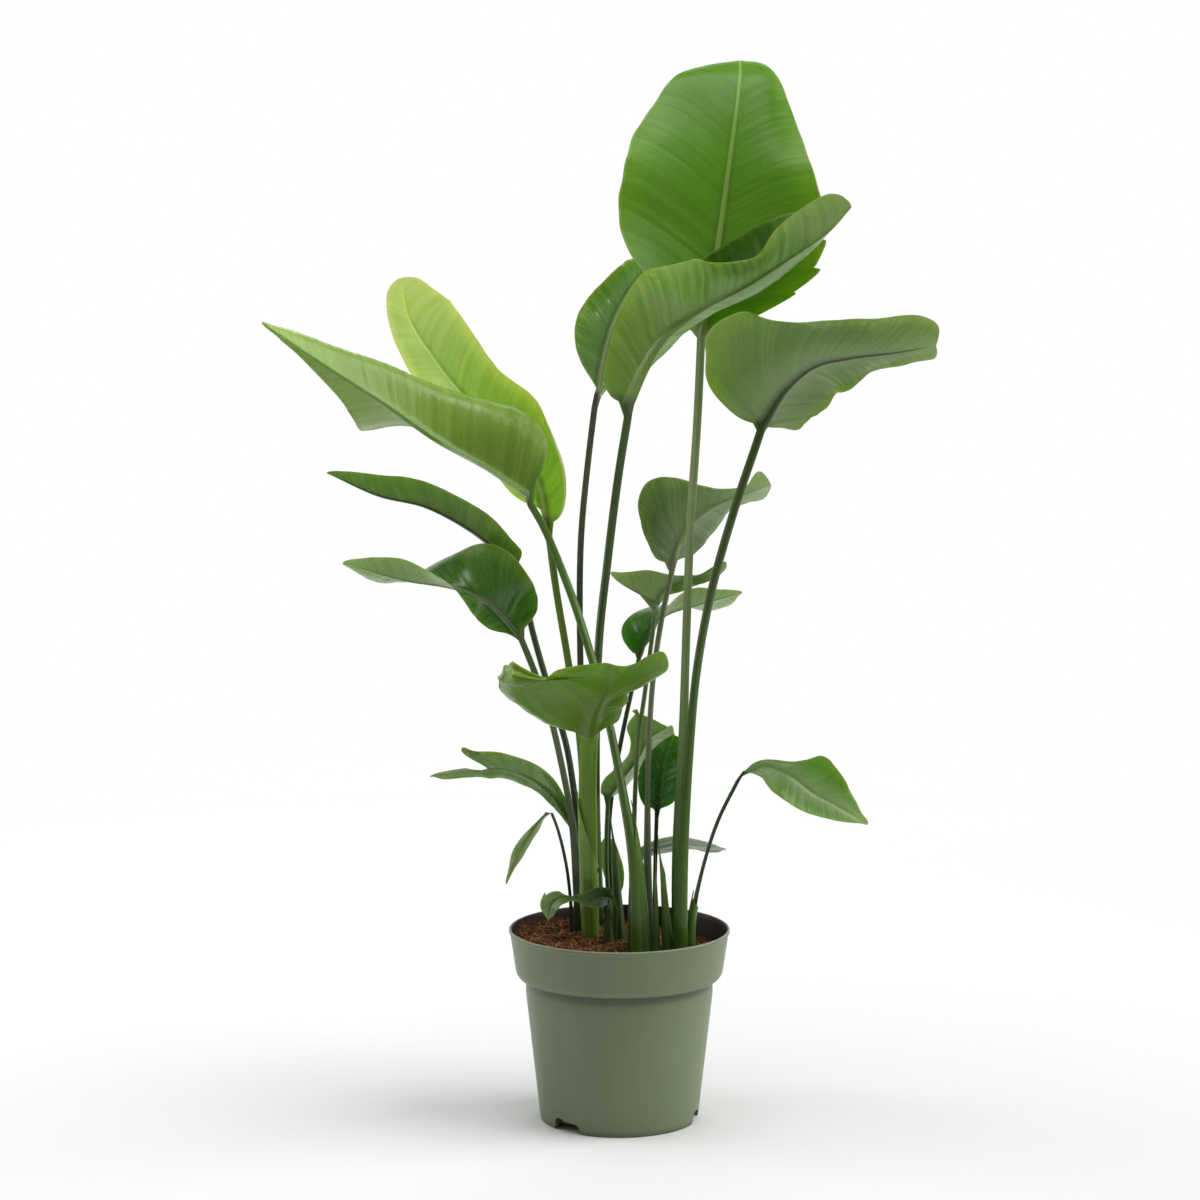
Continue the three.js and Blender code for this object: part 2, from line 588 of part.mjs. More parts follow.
    wave: [0.5, 2, 0],
  },
  {
    name: "leaf_low_crossing",
    paint: "middle",
    fine: false,
    stalk: [[-4, 0, 168.4], [-4, -1, 207], [-3, -4, 232]],
    foot: [3, 2.5, 2],
    neck: [1.8, 2.2, -0.4],
    rib: [[-6, -6, 243], [-21, -14, 248], [-38, -20, 247], [-58, -22, 245], [-76, -22, 219]],
    face: [[0.2, -0.9, 0.4], [0, -0.6, 0.8], [-0.5, -0.6, 0.5]],
    left: { widths: [0, 6, 9, 10, 8, 10, 3, 0], lift: [20, 10, 0], curl: [10, 10, 0] },
    right: { widths: [0, 7, 11, 12, 8, 10, 3, 0], lift: [20, 10, 0], curl: [10, 10, 0] },
    wave: [0.5, 2, 0],
  },
  {
    name: "leaf_low_right",
    paint: "middle",
    fine: false,
    stalk: [[78, -8, 168.4], [79, -13, 222], [90, -18, 280], [106, -24, 333], [126, -30, 376]],
    foot: [4.5, 3.5, 3],
    neck: [2, 3, -0.5],
    rib: [
      [131, -32, 385], [155, -36, 393], [182, -42, 384], [205, -47, 367], [229, -50, 354],
      [264, -54, 334],
    ],
    face: [[0.1, -0.85, 0.5], [0.1, -0.85, 0.5], [0.2, -0.85, 0.5]],
    left: { widths: [0, 4, 9, 21, 42, 24, 6, 0], lift: [10, 5, 0], curl: [10, 10, 0] },
    right: { widths: [0, 5, 18, 24, 20, 12, 4, 0], lift: [10, 5, 0], curl: [10, 10, 0] },
    wave: [1.5, 2, 0],
  },
  {
    name: "leaf_back_low",
    paint: "pale",
    fine: false,
    stalk: [[12, 92, 168.4], [14, 88, 223], [13, 88, 245], [13, 89, 256]],
    foot: [3, 2.5, 2],
    neck: [2, 2.6, -0.4],
    rib: [[15, 90, 262], [35, 96, 274], [63, 102, 281], [91, 108, 279], [120, 114, 274]],
    face: [[0, -0.1, 1], [0, -0.1, 1], [0, -0.1, 1]],
    left: { widths: [0, 8, 18, 24, 24, 16, 5, 0], lift: [10, 5, 0], curl: [10, 0, 0] },
    right: { widths: [0, 8, 18, 24, 24, 16, 5, 0], lift: [10, 5, 0], curl: [10, 0, 0] },
    wave: [1, 2, 0],
  },
  {
    name: "leaf_back_small",
    paint: "dark",
    fine: false,
    stalk: [[-6, 96, 168.4], [-4, 93, 205], [-3, 92, 221]],
    foot: [2.5, 2, 2],
    neck: [1.8, 2.2, -0.4],
    rib: [[-2, 92, 229], [-5, 96, 248], [-10, 100, 270], [-14, 104, 289]],
    face: [[0, -1, 0.3], [0, -1, 0.3], [0, -1, 0.3]],
    left: { widths: [0, 5, 9, 11, 10, 8, 4, 0], lift: [10, 5, 0], curl: [10, 0, 0] },
    right: { widths: [0, 5, 9, 11, 10, 8, 4, 0], lift: [10, 5, 0], curl: [10, 0, 0] },
    wave: [0.5, 2, 0],
  },
];

// Pockets in the soil, one for each shoot, as ovals [x, y] with their half sizes
const POCKETS = [
  { middle: [-34, 34], half: [27, 24] },
  { middle: [24, -41], half: [20, 18] },
  { middle: [69, -34], half: [15, 20] },
  { middle: [-12, 84], half: [32, 20] },
  { middle: [38, -10], half: [6, 7] },
  { middle: [-4, 0], half: [5, 5] },
  { middle: [78, -8], half: [7, 6] },
];

const group = new THREE.Group();

function add(name, geometry, paint) {
  const mesh = new THREE.Mesh(geometry, material(paint));
  mesh.name = name;
  group.add(mesh);
}

add("pot", makePot(), "pot");
add("soil", makeSoil(), "soil");
for (const leaf of LEAVES) {
  add(leaf.name, makeLeaf(leaf), leaf.paint);
}

export default group;
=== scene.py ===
# A young white bird of paradise in a sage green nursery pot, on a plain pale floor.
# Metres, +Z up, the front is -Y. The sections are the studio, then the plant as it stands: pot, peat,
# leaves and the sheaths round their feet.
import json
import math
import random

import bmesh
import bpy
import numpy as np
from mathutils import Euler, Matrix, Vector

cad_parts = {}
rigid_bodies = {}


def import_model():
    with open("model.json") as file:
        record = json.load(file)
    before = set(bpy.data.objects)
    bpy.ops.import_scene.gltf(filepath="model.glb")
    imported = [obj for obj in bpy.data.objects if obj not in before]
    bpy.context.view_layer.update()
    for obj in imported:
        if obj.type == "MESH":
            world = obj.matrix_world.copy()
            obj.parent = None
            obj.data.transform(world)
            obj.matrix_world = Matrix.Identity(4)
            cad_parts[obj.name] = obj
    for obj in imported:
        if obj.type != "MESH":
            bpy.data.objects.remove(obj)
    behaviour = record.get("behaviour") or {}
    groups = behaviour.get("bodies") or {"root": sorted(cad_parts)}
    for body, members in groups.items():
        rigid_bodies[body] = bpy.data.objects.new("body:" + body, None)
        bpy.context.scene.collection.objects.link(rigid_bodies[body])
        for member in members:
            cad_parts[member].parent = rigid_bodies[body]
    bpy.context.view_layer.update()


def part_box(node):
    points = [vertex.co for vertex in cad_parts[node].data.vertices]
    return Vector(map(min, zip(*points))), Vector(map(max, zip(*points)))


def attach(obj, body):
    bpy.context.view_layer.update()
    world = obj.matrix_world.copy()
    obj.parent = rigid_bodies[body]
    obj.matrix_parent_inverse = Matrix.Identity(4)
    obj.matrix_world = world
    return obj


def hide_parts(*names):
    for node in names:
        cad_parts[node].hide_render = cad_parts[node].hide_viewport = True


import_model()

# Studio: a plain pale floor that fades into a white surround, a broad soft key from the right, a
# softbox overhead, a panel on each side and a lit backdrop. The camera stands 3.5 m in front of the
# pot, a little to its left, and looks slightly down.
FLOOR_RADIUS = 2.6
FLOOR_CLEAR = 0.9
FLOOR_RIM = 0.1
FLOOR_SIDES = 96
FLOOR_GREY = 0.9
SURROUND_SEEN = 1.0
SURROUND_LIGHT = 0.22
CAMERA_PLACE = (-0.021, -3.5, 0.995)
CAMERA_TILT = math.radians(83.05)
CAMERA_LENS = 98.6
CAMERA_SENSOR = 36
KEY_STRENGTH = 1.7
KEY_SPREAD = math.radians(55)
KEY_FROM = (1.0, -0.12, 0.8)
SHARP_FROM = math.radians(50)
PANELS = [
    {"name": "softbox_overhead", "place": (-0.2, -0.3, 2.7), "size": (1.6, 1.2), "power": 24,
     "aim": (0, 0.1, 0.6)},
    {"name": "panel_left", "place": (-2.0, 0.5, 1.1), "size": (1.2, 2.0), "power": 12, "aim": (0, 0, 0.6)},
    {"name": "panel_right", "place": (2.1, 0.2, 1.2), "size": (1.2, 2.0), "power": 10, "aim": (0, 0, 0.6)},
    {"name": "backdrop", "place": (0, 2.6, 1.5), "size": (5.0, 3.0), "power": 42, "aim": (0, 0, 0.8)},
]


def paint(red, green, blue):
    """A colour given as it shows on screen, 0 to 255, as the linear colour that shaders work in."""
    shown = (red, green, blue)
    return tuple(((c / 255 + 0.055) / 1.055) ** 2.4 if c > 10 else c / 3294 for c in shown) + (1.0,)


def put(tree, kind, inputs=None, **settings):
    """One shader node with its settings and its inputs, each a value or the socket that feeds it."""
    made = tree.nodes.new("ShaderNode" + kind)
    for key, value in settings.items():
        setattr(made, key, value)
    for key, value in (inputs or {}).items():
        if isinstance(value, bpy.types.NodeSocket):
            tree.links.new(value, made.inputs[key])
        else:
            made.inputs[key].default_value = value
    return made


def mesh_of(shape, name):
    """A finished bmesh as a mesh of this name. The bmesh is freed."""
    mesh = bpy.data.meshes.new(name)
    shape.to_mesh(mesh)
    shape.free()
    return mesh


def piece(name, mesh, material):
    """A finished mesh as an object at the origin, with its one material and smooth faces."""
    made = bpy.data.objects.new(name, mesh)
    bpy.context.scene.collection.objects.link(made)
    mesh.materials.append(material)
    mesh.shade_smooth()
    mesh.set_sharp_from_angle(angle=SHARP_FROM)
    return made


def finish(name, **values):
    """A new material and its surface shader, with the plain values set on the shader itself."""
    material = bpy.data.materials.new(name)
    material.use_nodes = True
    shader = material.node_tree.nodes["Principled BSDF"]
    for key, value in values.items():
        shader.inputs[key.replace("_", " ").title().replace("Ior", "IOR")].default_value = value
    return material, material.node_tree, shader


disc = bmesh.new()
bmesh.ops.create_circle(disc, cap_ends=True, segments=FLOOR_SIDES, radius=FLOOR_RADIUS)
grey = (FLOOR_GREY, FLOOR_GREY, FLOOR_GREY, 1)
floor_material, tree, shader = finish("pale_floor", roughness=0.9, base_color=grey)
spot = put(tree, "TexCoord").outputs["Object"]
reach = put(tree, "VectorMath", {0: spot}, operation="LENGTH").outputs["Value"]
ranges = {"Value": reach, "From Min": FLOOR_CLEAR, "From Max": FLOOR_RADIUS - FLOOR_RIM,
          "To Min": 1.0, "To Max": 0.0}
fade = put(tree, "MapRange", ranges, interpolation_type="SMOOTHSTEP")
tree.links.new(fade.outputs[0], shader.inputs["Alpha"])
floor = piece("floor", mesh_of(disc, "floor"), floor_material)

world = bpy.data.worlds.new("white_surround")
bpy.context.scene.world = world
world.use_nodes = True
surround = world.node_tree.nodes["Background"]
surround.inputs["Color"].default_value = (1, 1, 1, 1)
seen = put(world.node_tree, "LightPath").outputs["Is Camera Ray"]
ranges = {"Value": seen, "To Min": SURROUND_LIGHT, "To Max": SURROUND_SEEN}
strength = put(world.node_tree, "MapRange", ranges)
world.node_tree.links.new(strength.outputs[0], surround.inputs["Strength"])
bpy.context.scene.view_settings.view_transform = "Standard"


def lamp(name, kind, place, aim):
    """A lamp that stands at a place and shines towards its aim."""
    made = bpy.data.lights.new(name, kind)
    holder = bpy.data.objects.new(name, made)
    holder.location = place
    holder.rotation_euler = (Vector(aim) - Vector(place)).to_track_quat("-Z", "Y").to_euler()
    bpy.context.scene.collection.objects.link(holder)
    return made


key = lamp("key", "SUN", KEY_FROM, (0, 0, 0))
key.energy = KEY_STRENGTH
key.angle = KEY_SPREAD
for panel in PANELS:
    light = lamp(panel["name"], "AREA", panel["place"], panel["aim"])
    light.shape = "RECTANGLE"
    light.size, light.size_y = panel["size"]
    light.energy = panel["power"]
    bpy.data.objects[panel["name"]].visible_camera = False

camera = bpy.data.objects.new("camera", bpy.data.cameras.new("camera"))
camera.data.lens = CAMERA_LENS
camera.data.sensor_width = CAMERA_SENSOR
camera.location = CAMERA_PLACE
camera.rotation_euler = (CAMERA_TILT, 0, 0)
bpy.context.scene.collection.objects.link(camera)
bpy.context.scene.camera = camera

# Pot: a thin moulded nursery pot of sage green plastic with a deep collar, a rolled lip, a floor
# raised on a foot ring and a middle pad, six drain holes and three notches through the foot.
MM = 0.001
POT_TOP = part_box("pot")[1].z / MM
RIM_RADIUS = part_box("pot")[1].x / MM
FOOT_RADIUS = 86
BODY_TOP_RADIUS = 102.5
COLLAR_FOOT_RADIUS = 112.5
COLLAR_DEPTH = 54
COLLAR_FOOT = POT_TOP - COLLAR_DEPTH
WALL = 2
FLOOR_UNDER = 6
PAD_RADIUS = 22
POT_STEPS = 144
CORNER_STEPS = 5
NOTCH_ANGLES = [-131.5, -11.5, 108.5]
NOTCH_OUTLINE = [(-19, -3), (19, -3), (17, 7), (14, 11), (-3, 12), (-5, 14), (-13, 14), (-16.5, 11)]
NOTCH_START = FOOT_RADIUS - 12
NOTCH_DEPTH = 0.018
DRAIN_HOLES = 6
DRAIN_RING = 55
DRAIN_RADIUS = 0.006
BAND_STRENGTH = 0.7


def rounded(corners, steps):
    """A [radius, height, rounding] outline with each corner turned into a short arc."""
    outline = []
    for k, (radius, height, rounding) in enumerate(corners):
        here = Vector((radius, 0, height))
        if rounding == 0 or k in (0, len(corners) - 1):
            outline.append(here)
            continue
        before = Vector((corners[k - 1][0], 0, corners[k - 1][1]))
        after = Vector((corners[k + 1][0], 0, corners[k + 1][1]))
        start = here + (before - here).normalized() * min(rounding, (before - here).length * 0.45)
        end = here + (after - here).normalized() * min(rounding, (after - here).length * 0.45)
        for j in range(steps + 1):
            f = j / steps
            outline.append(start.lerp(here, f).lerp(here.lerp(end, f), f))
    return [point * MM for point in outline]


def turned(corners, steps, name):
    """A closed outline spun once about the pot's axis."""
    shell = bmesh.new()
    points = [shell.verts.new(point) for point in rounded(corners, CORNER_STEPS)]
    edges = [shell.edges.new(pair) for pair in zip(points, points[1:])]
    bmesh.ops.spin(shell, geom=points + edges, cent=(0, 0, 0), axis=(0, 0, 1), angle=2 * math.pi,
                   steps=steps, use_merge=True)
    bmesh.ops.remove_doubles(shell, verts=shell.verts, dist=1e-6)
    bmesh.ops.recalc_face_normals(shell, faces=shell.faces)
    return mesh_of(shell, name)


pot_mesh = turned([
    (0, 0, 0), (PAD_RADIUS, 0, 1), (PAD_RADIUS + 2, FLOOR_UNDER, 1), (FOOT_RADIUS - 4, FLOOR_UNDER, 0.8),
    (FOOT_RADIUS - 3, 0, 0.5), (FOOT_RADIUS - 0.3, 0, 1), (FOOT_RADIUS + 0.4, 4, 1),
    (BODY_TOP_RADIUS - 0.6, COLLAR_FOOT - 14, 8), (BODY_TOP_RADIUS - 1.4, COLLAR_FOOT - 4, 3),
    (BODY_TOP_RADIUS - 0.4, COLLAR_FOOT - 1, 2), (COLLAR_FOOT_RADIUS - 4, COLLAR_FOOT + 1, 4),
    (COLLAR_FOOT_RADIUS - 0.4, COLLAR_FOOT + 6, 4), (COLLAR_FOOT_RADIUS + 0.6, COLLAR_FOOT + 12, 4),
    (RIM_RADIUS - 1.4, POT_TOP - 5, 1), (RIM_RADIUS - 0.1, POT_TOP - 3.6, 1),
    (RIM_RADIUS, POT_TOP - 0.8, 0.8), (RIM_RADIUS - 1.2, POT_TOP, 0.7),
    (RIM_RADIUS - 2.6, POT_TOP - 0.4, 0.8),
    (RIM_RADIUS - WALL - 1.6, POT_TOP - 5, 1), (COLLAR_FOOT_RADIUS - WALL, COLLAR_FOOT + 8, 4),
    (BODY_TOP_RADIUS - WALL, COLLAR_FOOT + 1, 3), (BODY_TOP_RADIUS - WALL - 0.9, COLLAR_FOOT - 4, 3),
    (FOOT_RADIUS - WALL, FLOOR_UNDER + WALL, 2), (0, FLOOR_UNDER + WALL, 0),
], POT_STEPS, "pot_shell")

cutter = bmesh.new()
for degrees in NOTCH_ANGLES:
    arch = [cutter.verts.new((x * MM, 0, z * MM)) for x, z in NOTCH_OUTLINE]
    face = cutter.faces.new(arch)
    grown = bmesh.ops.extrude_face_region(cutter, geom=[face])["geom"]
    moved = [v for v in grown if isinstance(v, bmesh.types.BMVert)]
    bmesh.ops.translate(cutter, verts=moved, vec=(0, -NOTCH_DEPTH, 0))
    block = arch + moved
    bmesh.ops.translate(cutter, verts=block, vec=(0, -NOTCH_START * MM, 0))
    turn = Matrix.Rotation(math.radians(degrees + 90), 3, "Z")
    bmesh.ops.rotate(cutter, verts=block, cent=(0, 0, 0), matrix=turn)
for k in range(DRAIN_HOLES):
    angle = math.radians(360 / DRAIN_HOLES * k)
    spot = Matrix.Translation((DRAIN_RING * math.cos(angle) * MM, DRAIN_RING * math.sin(angle) * MM, 0.007))
    bmesh.ops.create_cone(cutter, cap_ends=True, segments=32, radius1=DRAIN_RADIUS, radius2=DRAIN_RADIUS,
                          depth=0.008, matrix=spot)
bmesh.ops.recalc_face_normals(cutter, faces=cutter.faces)
cutter_mesh = mesh_of(cutter, "pot_cutter")


def carved(mesh, tool):
    """The first mesh with the second one cut out of it, as a plain mesh with nothing live."""
    body = bpy.data.objects.new("body", mesh)
    knife = bpy.data.objects.new("knife", tool)
    for thing in (body, knife):
        bpy.context.scene.collection.objects.link(thing)
    cut = body.modifiers.new("cut", "BOOLEAN")
    cut.operation = "DIFFERENCE"
    cut.solver = "EXACT"
    cut.object = knife
    seen = body.evaluated_get(bpy.context.evaluated_depsgraph_get())
    result = bpy.data.meshes.new_from_object(seen)
    bpy.data.objects.remove(body)
    bpy.data.objects.remove(knife)
    return result


pot_plastic, tree, shader = finish("pot_plastic", roughness=0.42, coat_weight=0.1, coat_roughness=0.35)
places = put(tree, "TexCoord").outputs["Object"]
height = put(tree, "SeparateXYZ", {0: places}).outputs["Z"]
streaked = put(tree, "Mapping", {"Vector": places, "Scale": (1, 1, 0.35)})
clouds = put(tree, "TexNoise", {"Vector": streaked.outputs[0], "Scale": 9.0, "Detail": 4.0, "Roughness": 0.6})
grain = put(tree, "TexNoise", {"Vector": places, "Scale": 900.0, "Detail": 2.0})
tone = put(tree, "ValToRGB", {"Fac": clouds.outputs["Fac"]})
tone.color_ramp.elements[0].position = 0.3
tone.color_ramp.elements[0].color = paint(98, 112, 76)
tone.color_ramp.elements[1].position = 0.72
tone.color_ramp.elements[1].color = paint(110, 124, 90)
dust = put(tree, "TexNoise", {"Vector": places, "Scale": 60.0, "Detail": 6.0, "Roughness": 0.7})
ranges = {"Value": dust.outputs["Fac"], "From Min": 0.66, "From Max": 0.78, "To Max": 0.22}
specks = put(tree, "MapRange", ranges).outputs[0]
shade = put(tree, "MixRGB", {"Fac": specks, "Color1": tone.outputs[0], "Color2": paint(136, 146, 122)})
# Bands by height: painted shade under the collar, a painted highlight on the lip, a darker foot.
POT_BANDS = [
    # Painted shade in the groove under the collar's overhang.
    {"low": (COLLAR_FOOT - 10, COLLAR_FOOT - 3), "high": (COLLAR_FOOT, COLLAR_FOOT + 4),
     "colour": (36, 43, 26)},
    # Painted highlight along the top of the rolled lip.
    {"low": (POT_TOP - 1.6, POT_TOP - 0.9), "high": (POT_TOP + 1, POT_TOP + 2), "colour": (150, 152, 132)},
    {"low": (-2, -1), "high": (1, 7), "colour": (70, 78, 58)},
]
for band in POT_BANDS:
    low, high = band["low"], band["high"]
    rise = put(tree, "MapRange", {"Value": height, "From Min": low[0] * MM, "From Max": low[1] * MM})
    fall = put(tree, "MapRange", {"Value": height, "From Min": high[1] * MM, "From Max": high[0] * MM})
    inside = put(tree, "Math", {0: rise.outputs[0], 1: fall.outputs[0]}, operation="MULTIPLY")
    part = put(tree, "Math", {0: inside.outputs[0], 1: BAND_STRENGTH}, operation="MULTIPLY")
    colours = {"Fac": part.outputs[0], "Color1": shade.outputs[0], "Color2": paint(*band["colour"])}
    shade = put(tree, "MixRGB", colours)
# The inner face of the collar is painted dark brown: partly soil on it, partly painted shade inside the pot.
inner = put(tree, "Attribute", attribute_name="inner").outputs["Fac"]
soiled_and_shaded = put(tree, "MixRGB", {"Fac": inner, "Color1": shade.outputs[0], "Color2": paint(34, 29, 20)})
tree.links.new(soiled_and_shaded.outputs[0], shader.inputs["Base Color"])
dull = put(tree, "MapRange", {"Value": clouds.outputs["Fac"], "To Min": 0.36, "To Max": 0.52})
tree.links.new(dull.outputs[0], shader.inputs["Roughness"])
skin = put(tree, "Bump", {"Strength": 0.12, "Distance": 0.0003, "Height": grain.outputs["Fac"]})
tree.links.new(skin.outputs[0], shader.inputs["Normal"])


def inner_mark(point):
    """1 on the inner face of the collar, which is painted dark for soil and for shade, and 0 elsewhere."""
    height = point.z / MM
    outer = COLLAR_FOOT_RADIUS + (height - COLLAR_FOOT) / COLLAR_DEPTH * (RIM_RADIUS - COLLAR_FOOT_RADIUS)
    return float(height > COLLAR_FOOT + 10 and math.hypot(point.x, point.y) / MM < outer - 1.5)


pot_mesh = carved(pot_mesh, cutter_mesh)
inner_soil_and_shade = [inner_mark(vertex.co) for vertex in pot_mesh.vertices]
pot_mesh.attributes.new("inner", "FLOAT", "POINT").data.foreach_set("value", inner_soil_and_shade)
pot = piece("pot_moulding", pot_mesh, pot_plastic)
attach(pot, "root")
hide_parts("pot")

# Peat: the moist brown root ball, heaped a little at the left and crumbly, with bark bits and pale
# fibres on it. It fills the pot round the feet of the shoots.
SOIL_LEVEL = 192
SOIL_STEPS = 150
SOIL_SLOPE = 10
CRUMBS = 2200
FIBRES = 150
BATCH = 60
SHADOW_GAP = 0.6
soil_random = random.Random(11)


def soil_height(x, y):
    """How far the peat's surface stands above its level, in mm, from its place in mm."""
    lumps = 1.6 * np.sin(x / 11 + 1) * np.cos(y / 13) + 1.1 * np.sin(x / 6 - y / 8)
    small = 0.8 * np.sin(x / 2.9 + 2 * np.sin(y / 5)) * np.cos(y / 3.1 + np.sin(x / 4))
    return -x / SOIL_SLOPE + lumps + small


def wall_inside(height):
    """The pot's inner radius at a height, less a gap, in mm."""
    if height > COLLAR_FOOT + 8:
        share = (height - COLLAR_FOOT - 8) / (POT_TOP - 5 - COLLAR_FOOT - 8)
        return COLLAR_FOOT_RADIUS - WALL + share * (RIM_RADIUS - 1.6 - COLLAR_FOOT_RADIUS) - SHADOW_GAP
    share = (height - FLOOR_UNDER - WALL) / (COLLAR_FOOT - 4 - FLOOR_UNDER - WALL)
    return FOOT_RADIUS - WALL + min(share, 1) * (BODY_TOP_RADIUS - 0.6 - FOOT_RADIUS) - SHADOW_GAP


peat = bmesh.new()
bmesh.ops.create_grid(peat, x_segments=SOIL_STEPS, y_segments=SOIL_STEPS, size=1.0)
top_radius = wall_inside(SOIL_LEVEL)
for vertex in peat.verts:
    u, v = vertex.co.x, vertex.co.y
    x = u * math.sqrt(1 - v * v / 2) * top_radius
    y = v * math.sqrt(1 - u * u / 2) * top_radius
    near_edge = max(0, math.hypot(x, y) / top_radius - 0.8) / 0.2
    height = SOIL_LEVEL + soil_height(x, y) + 3 * near_edge ** 2 * math.sin(math.atan2(y, x) * 3)
    crumb = 1.5 * (soil_random.random() - 0.5)
    reach = wall_inside(height) / top_radius
    vertex.co = Vector((x * reach, y * reach, height + crumb)) * MM
for height in (COLLAR_FOOT + 9, COLLAR_FOOT - 5, FLOOR_UNDER + WALL + 0.5):
    ring = [edge for edge in peat.edges if edge.is_boundary]
    made = bmesh.ops.extrude_edge_only(peat, edges=ring)["geom"]
    for vertex in (v for v in made if isinstance(v, bmesh.types.BMVert)):
        flat = Vector((vertex.co.x, vertex.co.y)).normalized() * wall_inside(height) * MM
        vertex.co = (flat.x, flat.y, height * MM)
bmesh.ops.holes_fill(peat, edges=[edge for edge in peat.edges if edge.is_boundary])
bmesh.ops.recalc_face_normals(peat, faces=peat.faces)
soil_mesh = mesh_of(peat, "peat_ball")

bit = bmesh.new()
bmesh.ops.create_uvsphere(bit, u_segments=7, v_segments=5, radius=1.0)
for vertex in bit.verts:
    vertex.co *= 0.72 + 0.56 * soil_random.random()
crumb_mesh = mesh_of(bit, "crumb")


def scattered(template, count, place, name):
    """One mesh of many moved copies of a small one. place() gives the matrix and the tone of a copy."""
    whole = bmesh.new()
    whole.verts.layers.float.new("tone")
    for start in range(0, count, BATCH):
        batch = bmesh.new()
        for k in range(start, min(start + BATCH, count)):
            matrix, tone = place()
            copy = template.copy()
            copy.transform(matrix)
            tones = copy.attributes.new("tone", "FLOAT", "POINT")
            tones.data.foreach_set("value", [tone] * len(copy.vertices))
            batch.from_mesh(copy)
            bpy.data.meshes.remove(copy)
        joined = mesh_of(batch, "batch")
        whole.from_mesh(joined)
        bpy.data.meshes.remove(joined)
    return mesh_of(whole, name)


def soil_spot(margin):
    """A random place on the peat, in mm, a margin away from the pot's wall."""
    radius = (top_radius - margin) * math.sqrt(soil_random.random())
    angle = 2 * math.pi * soil_random.random()
    x, y = radius * math.cos(angle), radius * math.sin(angle)
    return x, y, SOIL_LEVEL + float(soil_height(x, y))


def crumb_place():
    """A crumb's matrix and tone: a rounded bit of any turn, sunk a little in the peat."""
    x, y, z = soil_spot(4)
    size = 0.8 + 2.2 * soil_random.random() ** 3
    turn = Euler([6.3 * soil_random.random() for _ in range(3)]).to_matrix().to_4x4()
    length = size * (0.6 + soil_random.random())
    depth = size * (0.4 + 0.5 * soil_random.random())
    place = Matrix.Translation((x * MM, y * MM, (z + 0.4 * size) * MM))
    shape = Matrix.Diagonal((length, size, depth, 1))
    return place @ turn @ Matrix.Scale(MM, 4) @ shape, soil_random.random()


def fibre_place():
    """A fibre's matrix and tone: a thin splinter that lies nearly flat on the peat."""
    x, y, z = soil_spot(14)
    length = 5 + 11 * soil_random.random()
    turn = Euler((0.5 * (soil_random.random() - 0.5), 0.7 * (soil_random.random() - 0.5),
                  6.3 * soil_random.random()))
    shape = Matrix.Diagonal((length, 0.35 + 0.3 * soil_random.random(), 0.35, 1))
    place = Matrix.Translation((x * MM, y * MM, (z + 1.6) * MM))
    return place @ turn.to_matrix().to_4x4() @ Matrix.Scale(MM, 4) @ shape, soil_random.random()


def peat_finish(name, dark, light, accent, accent_share):
    """Brown organic matter: two browns in clouds, lighter flecks, rough all over."""
    material, tree, shader = finish(name, roughness=0.92, specular_ior_level=0.25)
    places = put(tree, "TexCoord").outputs["Object"]
    clouds = put(tree, "TexNoise", {"Vector": places, "Scale": 120.0, "Detail": 6.0, "Roughness": 0.65})
    fleck = put(tree, "TexNoise", {"Vector": places, "Scale": 420.0, "Detail": 3.0})
    own = put(tree, "Attribute", attribute_name="tone").outputs["Fac"]
    sum_of = put(tree, "Math", {0: clouds.outputs["Fac"], 1: own}, operation="ADD")
    browns = put(tree, "MixRGB", {"Fac": sum_of.outputs[0], "Color1": dark, "Color2": light})
    browns.use_clamp = True
    ranges = {"Value": fleck.outputs["Fac"], "From Min": 1 - accent_share, "From Max": 1.04 - accent_share}
    place = put(tree, "MapRange", ranges).outputs[0]
    speckled = put(tree, "MixRGB", {"Fac": place, "Color1": browns.outputs[0], "Color2": accent})
    tree.links.new(speckled.outputs[0], shader.inputs["Base Color"])
    rough = put(tree, "Bump", {"Strength": 0.9, "Distance": 0.0012, "Height": fleck.outputs["Fac"]})
    tree.links.new(rough.outputs[0], shader.inputs["Normal"])
    return material


peat_brown = peat_finish("peat_brown", paint(35, 21, 13), paint(106, 66, 40), paint(148, 98, 59), 0.34)
crumb_brown = peat_finish("crumb_brown", paint(50, 29, 17), paint(138, 87, 50), paint(184, 132, 78), 0.4)
fibre_brown = peat_finish("fibre_brown", paint(70, 46, 30), paint(150, 118, 82), paint(190, 166, 130), 0.45)

soil_pieces = [
    piece("peat_ball", soil_mesh, peat_brown),
    piece("peat_crumbs", scattered(crumb_mesh, CRUMBS, crumb_place, "peat_crumbs"), crumb_brown),
    piece("peat_fibres", scattered(crumb_mesh, FIBRES, fibre_place, "peat_fibres"), fibre_brown),
]
for part in soil_pieces:
    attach(part, "root")
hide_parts("soil")

# Leaves: twenty, each one grown piece of sheath, grooved stalk, midrib and two-sided blade. The blade
# is thin and waxy, glossy above and bloomed below, with side veins that leave the midrib like pleats.
# The pale grey along the midrib is partly that waxy bloom and partly painted sheen.
BLADE_THICKNESS = 0.8
STALK_EDGE = 0.97
CHANNEL = 0.3
LEAN = [0.45, 0.7, 1.0]
PLEAT = 11
RAGGED = 0.014
FRILL = 0.25
VEIN_SHIFT = 400
ROUTE_STEPS = 32
BEND_STEPS = 10
FINE_GRID = (17, 44, 210)
PLAIN_GRID = (12, 34, 120)
COLUMN_CROWDING = 1.5
ROW_CROWDING = 0.055
MARKS = ("vein", "share", "rib", "under", "blade", "climb", "reach", "around")


